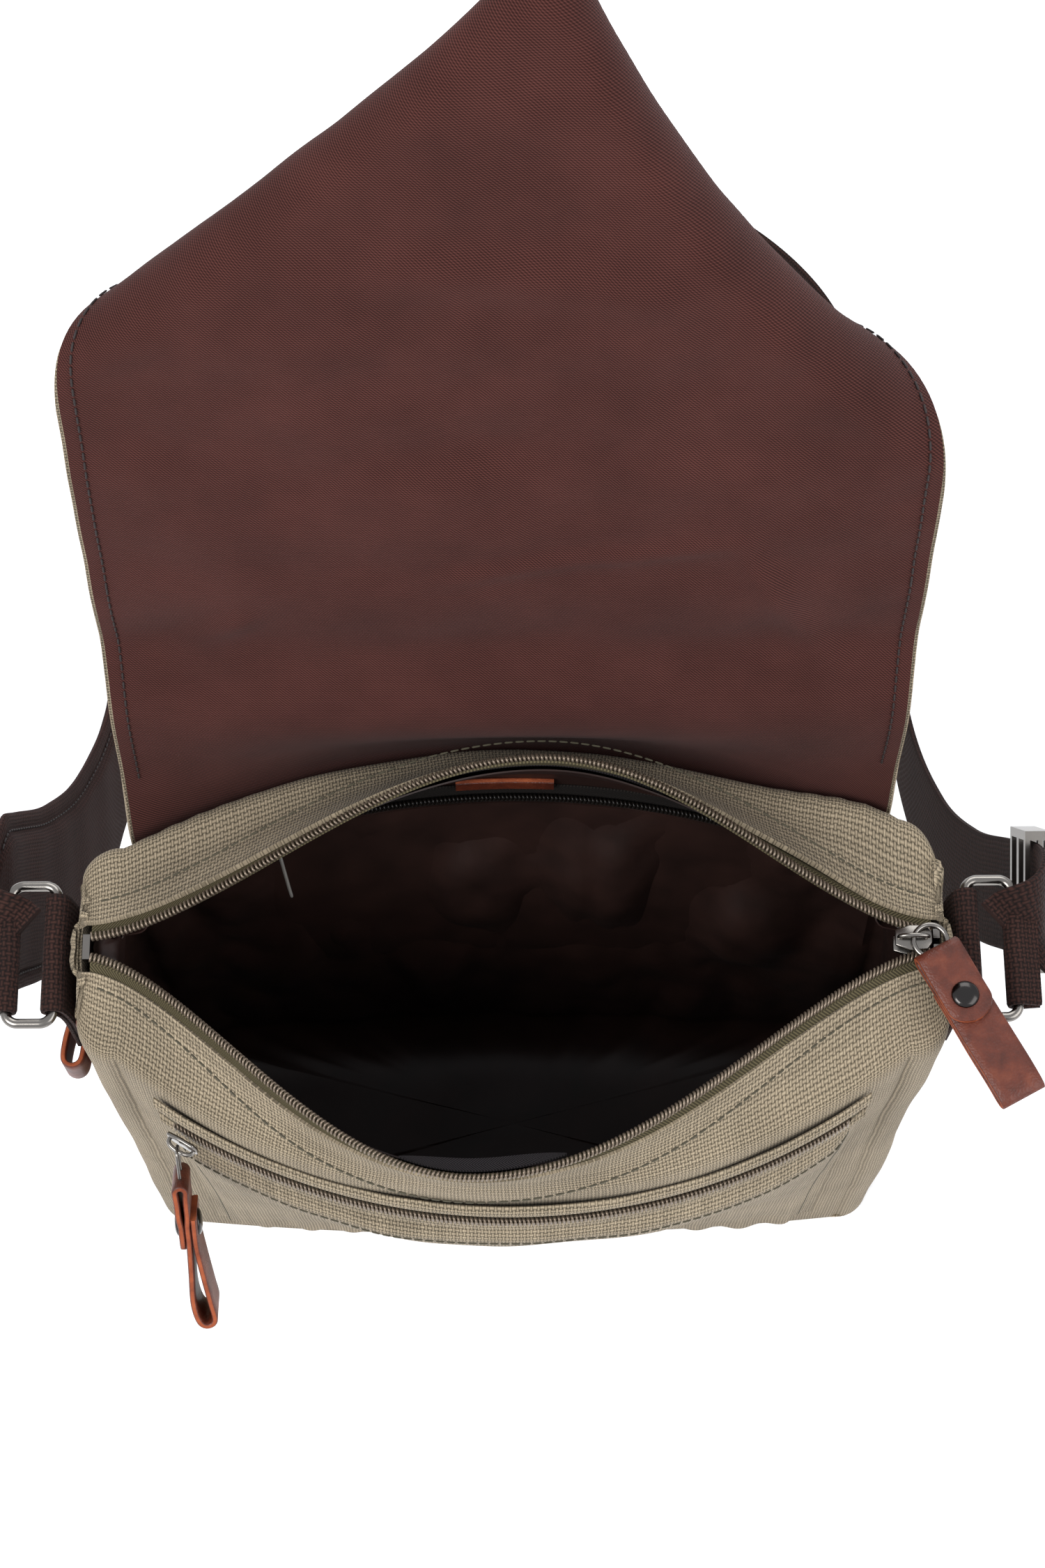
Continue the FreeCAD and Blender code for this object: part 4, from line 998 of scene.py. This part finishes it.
def tube(name, path, radius, closed=False, sides=12):
    """A round wire along a path."""
    path = np.asarray(path, float)
    ahead = np.roll(path, -1, 0) - np.roll(path, 1, 0) if closed else np.gradient(path, axis=0)
    ahead = unit(ahead)
    side = np.cross(ahead[0], [0.31, 0.52, 0.79])
    frames = []
    for way in ahead:
        side = unit(side - way * np.dot(side, way))
        frames.append((side, np.cross(way, side)))
    a, b = np.array([f[0] for f in frames]), np.array([f[1] for f in frames])
    turn = np.arange(sides) * 2 * math.pi / sides
    points = path[:, None] + radius * (a[:, None] * np.cos(turn)[None, :, None]
                                       + b[:, None] * np.sin(turn)[None, :, None])
    if closed:
        points = np.concatenate([points, points[:1]])
    return surface(name, points, closed=True)


def slider(name, origin, x_way, y_way, length, width, post=True):
    """A zip slider lying along X with its upper face towards +Z."""
    half, wide = length / 2, width / 2
    outline = [(-half, -wide * 0.62), (-half * 0.2, -wide), (half * 0.75, -wide), (half, -wide * 0.45),
               (half, wide * 0.45), (half * 0.75, wide), (-half * 0.2, wide), (-half, wide * 0.62)]
    plates = [(0.0, 0.0013)] + ([(-0.0062, -0.0049)] if post else [])
    parts = []
    for low, high in plates:
        points = [(x, y, z) for z in (low, high) for x, y in outline]
        faces = [tuple(range(8))[::-1], tuple(range(8, 16))]
        faces += [(k, (k + 1) % 8, (k + 1) % 8 + 8, k + 8) for k in range(8)]
        piece = new_piece(name, points, faces)
        bevel = piece.modifiers.new("edges", "BEVEL")
        bevel.width, bevel.segments, bevel.limit_method = 0.0004, 2, "ANGLE"
        parts.append(settle(piece, 40))
    turn = np.linspace(0, math.pi, 17)
    arch = np.stack([-np.cos(turn) * half * 0.8, 0 * turn, 0.0006 + np.sin(turn) ** 0.5 * 0.0031], axis=1)
    parts.append(tube(name, arch, 0.0007, sides=10))
    if post:
        parts.append(rounded(name, (-half * 0.7, -0.001, -0.005), (-half * 0.3, 0.001, 0.001), 0.0003, 2))
    return carry(gather_pieces(name, parts), origin, x_way, y_way)


dress(slider("main_zip_slider", (0.1245, 0, 0.2460), (1, 0, 0), (0, 1, 0), 0.0114, 0.0080),
      gunmetal, "main_slider", ("main_slider",))
POCKET_TURN = math.radians(-31)
pocket_x = (math.cos(POCKET_TURN), math.sin(POCKET_TURN), 0)
dress(slider("pocket_zip_slider", (-0.10246, -0.05660, 0.2205), pocket_x, (0, 0, 1), 0.011, 0.0082, False),
      gunmetal, "pocket_slider", ("pocket_slider",))
# Brighter nickel on the small slider and its pull inside the bag.
nickel = plain("satin_nickel", "#c9c5be", 0.42, 0.8)[0]
for name in ("main_pull_ring", "pocket_pull_link", "inner_pull", "inner_slider", "left_ring", "right_ring",
             "strap_adjuster", "zip_end_stops"):
    repaint(name, nickel if name.startswith("inner") else gunmetal)

# ---- leather ----
# Red-brown vegetable-tanned leather 2 mm thick with raw orange-brown edges: a folded and
# riveted pull on each zip, a patch behind each side tab, a hanging loop and a blank strip.


def leather_paint(name, low, mid, high, roughness):
    """Leather with cloudy dye and a fine pebbled grain, in object space."""
    material, tree, shader = new_material(name)
    place = node(tree, "ShaderNodeTexCoord").outputs["Object"]
    cloud = node(tree, "ShaderNodeTexNoise", {"Scale": 130.0, "Detail": 5.0, "Roughness": 0.6}, Vector=place)
    tree.links.new(ramp(tree, cloud.outputs["Fac"], ((0.28, low), (0.5, mid), (0.75, high))),
                   shader.inputs["Base Color"])
    grain = node(tree, "ShaderNodeTexVoronoi", {"Scale": 1500.0}, Vector=place)
    pebbles = plus(tree, grain.outputs["Distance"], times(tree, cloud.outputs["Fac"], 1.5))
    raise_grain(tree, shader, 0.35, 0.0003, pebbles)
    feel(shader, Roughness=roughness, Specular_IOR_Level=0.4)
    return material


# Smooth dyed face of the leather.
leather = leather_paint("red_brown_leather", "#3b180e", "#552415", "#6e3621", 0.45)
# Raw cut edge and flesh side.
raw_leather = leather_paint("raw_leather_edge", "#64290f", "#8a4222", "#a5562f", 0.8)
LEATHER = 0.0018


def square_to(path, across):
    """Distance along a path, the way across it made square to it, and the way off its face."""
    ahead = unit(np.gradient(path, axis=0))
    across = np.broadcast_to(np.asarray(across, float), path.shape)
    across = unit(across - ahead * np.sum(across * ahead, axis=1, keepdims=True))
    return run_along(path), across, np.cross(ahead, across)


def band(name, path, across, width, thickness, end_round=0.0):
    """A strip of webbing or leather along a path, with rounded edges and closed ends.

    across is one way for the whole strip or one for each point; end_round rounds the far tip."""
    path = np.asarray(path, float)
    length, across, face = square_to(path, across)
    section = np.array([(1, -0.6), (1, 0.6), (0.95, 1), (0.5, 1), (0, 1), (-0.5, 1), (-0.95, 1),
                        (-1, 0.6), (-1, -0.6), (-0.95, -1), (-0.5, -1), (0, -1), (0.5, -1), (0.95, -1)])
    section = section * [width / 2, thickness / 2]
    narrow = np.ones(len(path))
    if end_round:
        narrow = np.sqrt(1 - np.clip(1 - (length[-1] - length) / end_round, 0, 0.985) ** 2)
    points = (path[:, None] + across[:, None] * (section[:, 0][None] * narrow[:, None])[..., None]
              + face[:, None] * section[:, 1][None, :, None])
    tips = [np.repeat(path[k][None, None], 14, axis=1) for k in (0, -1)]
    points = np.concatenate([tips[0], points, tips[1]])
    run = np.concatenate([[0], length, length[-1:]])
    piece = surface(name, points, cloth_uv(run_along(section), run), closed=True)
    piece.data.set_sharp_from_angle(angle=math.radians(50))
    return piece


def leather_strip(name, path, across, width, end_round=0.0):
    """A strip of leather: its two cut edges and its ends show the raw hide."""
    piece = band(name, path, across, width, LEATHER, end_round)
    piece.data.materials.append(leather)
    piece.data.materials.append(raw_leather)
    places = np.arange(len(piece.data.polygons))
    raw = np.isin(places % 14, [0, 7]) | (places < 14) | (places >= len(places) - 14)
    piece.data.polygons.foreach_set("material_index", raw.astype(np.int32))
    return piece


def leather_wear(piece, body, replaces=()):
    """Gives a strip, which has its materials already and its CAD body."""
    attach(piece, body)
    if replaces:
        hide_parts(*replaces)
    return piece


def smooth_path(points, count):
    """A smooth curve through a few points, evenly sampled (Catmull-Rom)."""
    points = np.asarray(points, float)
    padded = np.concatenate([2 * points[:1] - points[1:2], points, 2 * points[-1:] - points[-2:-1]])
    spans = len(points) - 1
    t = np.linspace(0, spans, count * 4)
    k = np.minimum(t.astype(int), spans - 1)
    u = (t - k)[:, None]
    p0, p1, p2, p3 = (padded[k + n] for n in range(4))
    curve = 0.5 * (2 * p1 + (p2 - p0) * u + (2 * p0 - 5 * p1 + 4 * p2 - p3) * u ** 2
                   + (3 * p1 - p0 - 3 * p2 + p3) * u ** 3)
    run = run_along(curve)
    marks = np.linspace(0, run[-1], count)
    return np.stack([np.interp(marks, run, curve[:, n]) for n in range(curve.shape[1])], axis=1)


def pull(name, eye, way, out, across, body, replaced, room, loop):
    """A leather pull: one strip that wraps the wire at its eye, riveted, and looped at its end.

    Its upper tail ends short and round. Its lower layer runs on, turns back in an open loop and
    ends under the rivet. way points down the pull and out off its upper face."""
    way, out = (unit(np.array(v, float)) for v in (way, out))
    deep = LEATHER / 2 + 0.0001
    turn = np.linspace(-math.pi / 2, math.pi / 2, 13)
    r = room + deep
    profile = [(0.0235, deep + 0.0002), (0.019, deep), (0.013, deep), (0.009, deep + 0.0004),
               (0.004, r * 0.85)]
    profile += [(-math.cos(a) * r, -math.sin(a) * r) for a in turn]
    profile += [(0.004, -r * 0.85), (0.009, -deep - 0.0004), (0.013, -deep), (0.019, -deep)]
    profile += [(0.030, -deep + loop * 0.15), (0.041, -deep + loop * 0.3), (0.0480, -deep - loop * 0.1),
                (0.0500, -deep - loop * 0.9), (0.0480, -deep - loop * 1.75), (0.041, -deep - loop * 1.5),
                (0.031, -3.2 * deep - loop * 0.35), (0.020, -3 * deep - 0.0001), (0.010, -3 * deep - 0.0001)]
    line = smooth_path([np.array(eye) + way * a + out * b for a, b in profile], 170)
    return leather_wear(leather_strip(name, line[::-1], across, 0.015, 0.0062), body, replaced)


def rivet(name, centre, out, way, gap, body, replaced, radius=0.0043):
    """A domed cap on each face of the pull, on one shank."""
    turn = np.arange(28) * 2 * math.pi / 28
    rings = [(0.0, 0.0014), (0.45, 0.00135), (0.75, 0.00112), (0.93, 0.0007), (1.0, 0.0002), (0.97, -0.0001),
             (0.25, -0.0001)]
    profile = [(radius * a, gap + b) for a, b in rings] + [(radius * a, -gap - b) for a, b in rings[::-1]]
    points = np.array([[(r * math.cos(t), r * math.sin(t), z) for t in turn] for r, z in profile])
    piece = carry(surface(name, points, closed=True), centre, way, np.cross(out, way))
    piece.data.set_sharp_from_angle(angle=math.radians(60))
    return dress(piece, black_nickel, body, replaced)


main_eye = np.array([0.131887, -0.006198, 0.2485])
main_way = np.array([0.4695, -0.8829, -0.0])
main_across = np.array([0.8829, 0.4695, 0.0])
UP = np.array([0, 0, 1.0])
pull("main_pull_strip", main_eye, main_way, UP, main_across, "main_pull",
     ("main_pull_leather",), 0.0010, 0.0016)
rivet("main_pull_cap", main_eye + main_way * 0.015 - UP * LEATHER / 2, UP, main_way, LEATHER * 1.5 + 0.0002,
      "main_pull", ("main_pull_rivet",))

droop_eye = np.array([-0.103764, -0.067828, 0.213924])
droop_way = np.array([0.0493, -0.7054, -0.7071])
droop_out = np.array([-0.9976, -0.0698, 0.0])
pull("pocket_pull_strip", droop_eye, droop_way, droop_out, (0.0493, -0.7054, 0.7071), "pocket_pull",
     ("pocket_pull_leather",), 0.0007, 0.0030)
rivet("pocket_pull_cap", droop_eye + droop_way * 0.015 - droop_out * LEATHER / 2, droop_out, droop_way,
      LEATHER * 1.5 + 0.0002, "pocket_pull", ("pocket_pull_rivet",))

side_loop = smooth_path([(x, y, 0.1855) for x, y in (
    (-0.1380, -0.002), (-0.1396, -0.010), (-0.1392, -0.018), (-0.1402, -0.0232), (-0.1430, -0.0246),
    (-0.1456, -0.0225), (-0.1452, -0.016), (-0.1436, -0.009), (-0.1420, -0.002))], 80)
loop_strip = leather_strip("side_leather_loop", side_loop, (0, 0, 1), 0.015)
leather_wear(loop_strip, "bag", ("left_side_loop",))

along = np.linspace(-0.018, 0.014, 24)
blank = leather_strip("blank_leather_strip", inside_wall(along, 0.2175, 1, 0.0016), (0, 0, 1), 0.0060)
leather_wear(blank, "bag", ("label_strip",))

for side, name in ((-1, "left"), (1, "right")):
    low, high = sorted((side * 0.1352, side * 0.1371))
    patch = rounded(f"{name}_leather_patch", (low, -0.021, 0.128), (high, 0.021, 0.226), 0.0007, 2)
    dress(patch, leather, "bag", (f"{name}_side_patch",))

# ---- webbing tabs and strap ----
# Dark brown cotton webbing 38 mm wide, woven in a coarse basket weave. A tab holds each side
# ring; the strap is sewn round the rings and passes through a three-bar adjuster on the right.

# As on the canvas, the webbing's colour follows the weave's height: painted shade in the hollows between
# threads.
webbing_cloth = woven("dark_brown_webbing", 0.0016, 0.8, "#0d0605", "#23130f", "#3d251f",
                      0.5, 0.9, 0.95, 0.0, 0.8)
WEB, WEB_THICK = 0.038, 0.0019

for side, name in ((-1, "left"), (1, "right")):
    line = smooth_path([(side * x, 0, z) for x, z in (
        (0.1381, 0.140), (0.1381, 0.170), (0.1382, 0.205), (0.1384, 0.222), (0.1392, 0.2310),
        (0.1404, 0.2360), (0.1430, 0.2379), (0.1452, 0.2370), (0.1460, 0.2350), (0.1452, 0.2330),
        (0.1430, 0.2321), (0.1412, 0.2300), (0.1403, 0.2240), (0.1401, 0.2150), (0.1400, 0.1950))], 150)
    tab = band(f"{name}_webbing_loop", line, (0, 1, 0), WEB, WEB_THICK)
    dress(tab, webbing_cloth, "bag", (f"{name}_webbing_tab",))
    box = [(y, z) for y, z in (
        (-0.015, 0.145), (0.015, 0.145), (0.015, 0.180), (-0.015, 0.180),
        (-0.015, 0.145), (0.015, 0.180), (0.015, 0.145), (-0.015, 0.180))]
    stitching(f"{name}_tab_stitches", np.array([(side * 0.1392, y, z) for y, z in box]), brown_thread,
              "bag")

ROUTE = [
    # place on the right side in metres, and the way across the band there
    ((0.1604, 0, 0.235), (0, 1, 0)), ((0.166, 0.006, 0.233), (0, 0.96, 0.28)),
    ((0.169, 0.016, 0.224), (0, 0.86, 0.51)), ((0.169, 0.026, 0.204), (0, 0.92, 0.39)),
    ((0.167, 0.038, 0.172), (0, 0.93, 0.38)), ((0.163, 0.056, 0.13), (0, 0.88, 0.48)),
    ((0.158, 0.084, 0.088), (0, 0.73, 0.68)), ((0.153, 0.13, 0.05), (0, 0.47, 0.88)),
    ((0.149, 0.196, 0.029), (0, 0.20, 0.98)), ((0.146, 0.262, 0.022), (0, 0.05, 1)),
    ((0.136, 0.33, 0.021), (0, 0, 1)), ((0.1, 0.374, 0.021), (0, 0, 1)),
    ((0.052, 0.391, 0.026), (0, 0, 1)), ((0, 0.396, 0.032), (0, 0, 1)),
]
PAD_LEVEL = 0.032  # the lowest that the strap lies on its left side, where the pad is
stations = np.array([place + across for place, across in ROUTE])
mirrored = stations[-2::-1] * [-1, 1, 1, 1, 1, 1]
mirrored[:, 2] = np.maximum(mirrored[:, 2], PAD_LEVEL)
stations = np.concatenate([stations, mirrored])
PAD_FROM, PAD_TO = 14, 23  # the stations between which the pad lies
SEWN_IN = 10  # steps of the pad's line that the webbing runs on for


def strap_run(first, last, count):
    """The strap's middle line and its way across, between two of its stations."""
    both = smooth_path(stations[first:last + 1] * [1, 1, 1, 0.01, 0.01, 0.01], count)
    return both[:, :3], both[:, 3:]


# Each run of webbing goes on for 20 mm inside the end of the pad, where it is sewn.
pad_line, pad_across = strap_run(PAD_FROM, PAD_TO, 220)
for name, first, last in (("right", 0, PAD_FROM), ("left", PAD_TO, len(stations) - 1)):
    line, across = strap_run(first, last, 30 * (last - first))
    if name == "right":
        line = np.concatenate([line, pad_line[1:SEWN_IN]])
        across = np.concatenate([across, pad_across[1:SEWN_IN]])
    else:
        line = np.concatenate([pad_line[-SEWN_IN:-1], line])
        across = np.concatenate([pad_across[-SEWN_IN:-1], across])
    dress(band(f"strap_{name}_webbing", line, across, WEB, 0.0021), webbing_cloth, "strap",
          (f"strap_webbing_{name}",))
for side, name in ((-1, "left"), (1, "right")):
    line = smooth_path([(side * x, 0, z) for x, z in (
        (0.1646, 0.2362), (0.1612, 0.2370), (0.1578, 0.2378), (0.1557, 0.2368), (0.1550, 0.2350),
        (0.1557, 0.2332), (0.1578, 0.2322), (0.1612, 0.2330), (0.1646, 0.2338))], 60)
    end_loop = band(f"strap_{name}_end", line, (0, 1, 0), WEB, WEB_THICK)
    end_loop.data.materials.append(webbing_cloth)
    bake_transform(end_loop)

# The shoulder pad: foam between two layers of brown canvas, quilted by a seam along each edge.
# Its colour also follows the weave's height: painted shade in the hollows between threads.
pad_canvas = woven("dark_brown_canvas", 0.0012, 0.8, "#120807", "#291613", "#3f2621",
                   0.5, 0.8, 0.95, 0.0)
PAD_HALF, PAD_DEEP, PAD_SEAM = 0.030, 0.0040, 0.0243
line = pad_line
length, across, face = square_to(line, pad_across)
to_end = np.minimum(length, length[-1] - length)
turn = np.linspace(0, 2 * math.pi, 49)[:-1]
wide = np.sign(np.cos(turn)) * np.abs(np.cos(turn)) ** 0.5
deep = np.sign(np.sin(turn)) * np.abs(np.sin(turn)) ** 0.7
seam = 1 - 0.62 * np.exp(-((np.abs(wide) - 0.80) / 0.05) ** 2)
seam = seam * np.where(np.abs(wide) > 0.80, 0.62, 1)
tip = np.sqrt(1 - np.clip(1 - to_end / 0.020, 0, 0.97) ** 2)
full = 0.5 + 0.5 * smooth_step(to_end / 0.012)
ripple = 1 + 0.05 * np.sin(length * 2 * math.pi / 0.034)
points = (line[:, None] + across[:, None] * (PAD_HALF * wide[None] * tip[:, None])[..., None]
          + face[:, None] * (PAD_DEEP * (deep * seam)[None] * (full * ripple)[:, None])[..., None])
tips = [np.repeat(line[k][None, None], len(turn), axis=1) for k in (0, -1)]
points = np.concatenate([tips[0], points, tips[1]])
uv = cloth_uv(run_along(points[60]), np.concatenate([[0], length, length[-1:]]))
pad = surface("shoulder_pad", points, uv, closed=True)
dress(pad, pad_canvas, "strap", ("shoulder_pad_cover", "shoulder_pad_foam"))
inside_tips = to_end > 0.006
for edge in (-1, 1):
    for layer in (-1, 1):
        row = line + across * edge * PAD_SEAM * tip[:, None] + face * layer * 0.0017
        stitching(f"pad_stitches_{'low' if edge < 0 else 'high'}_{'in' if layer < 0 else 'out'}",
                  row[inside_tips], brown_thread, "strap")
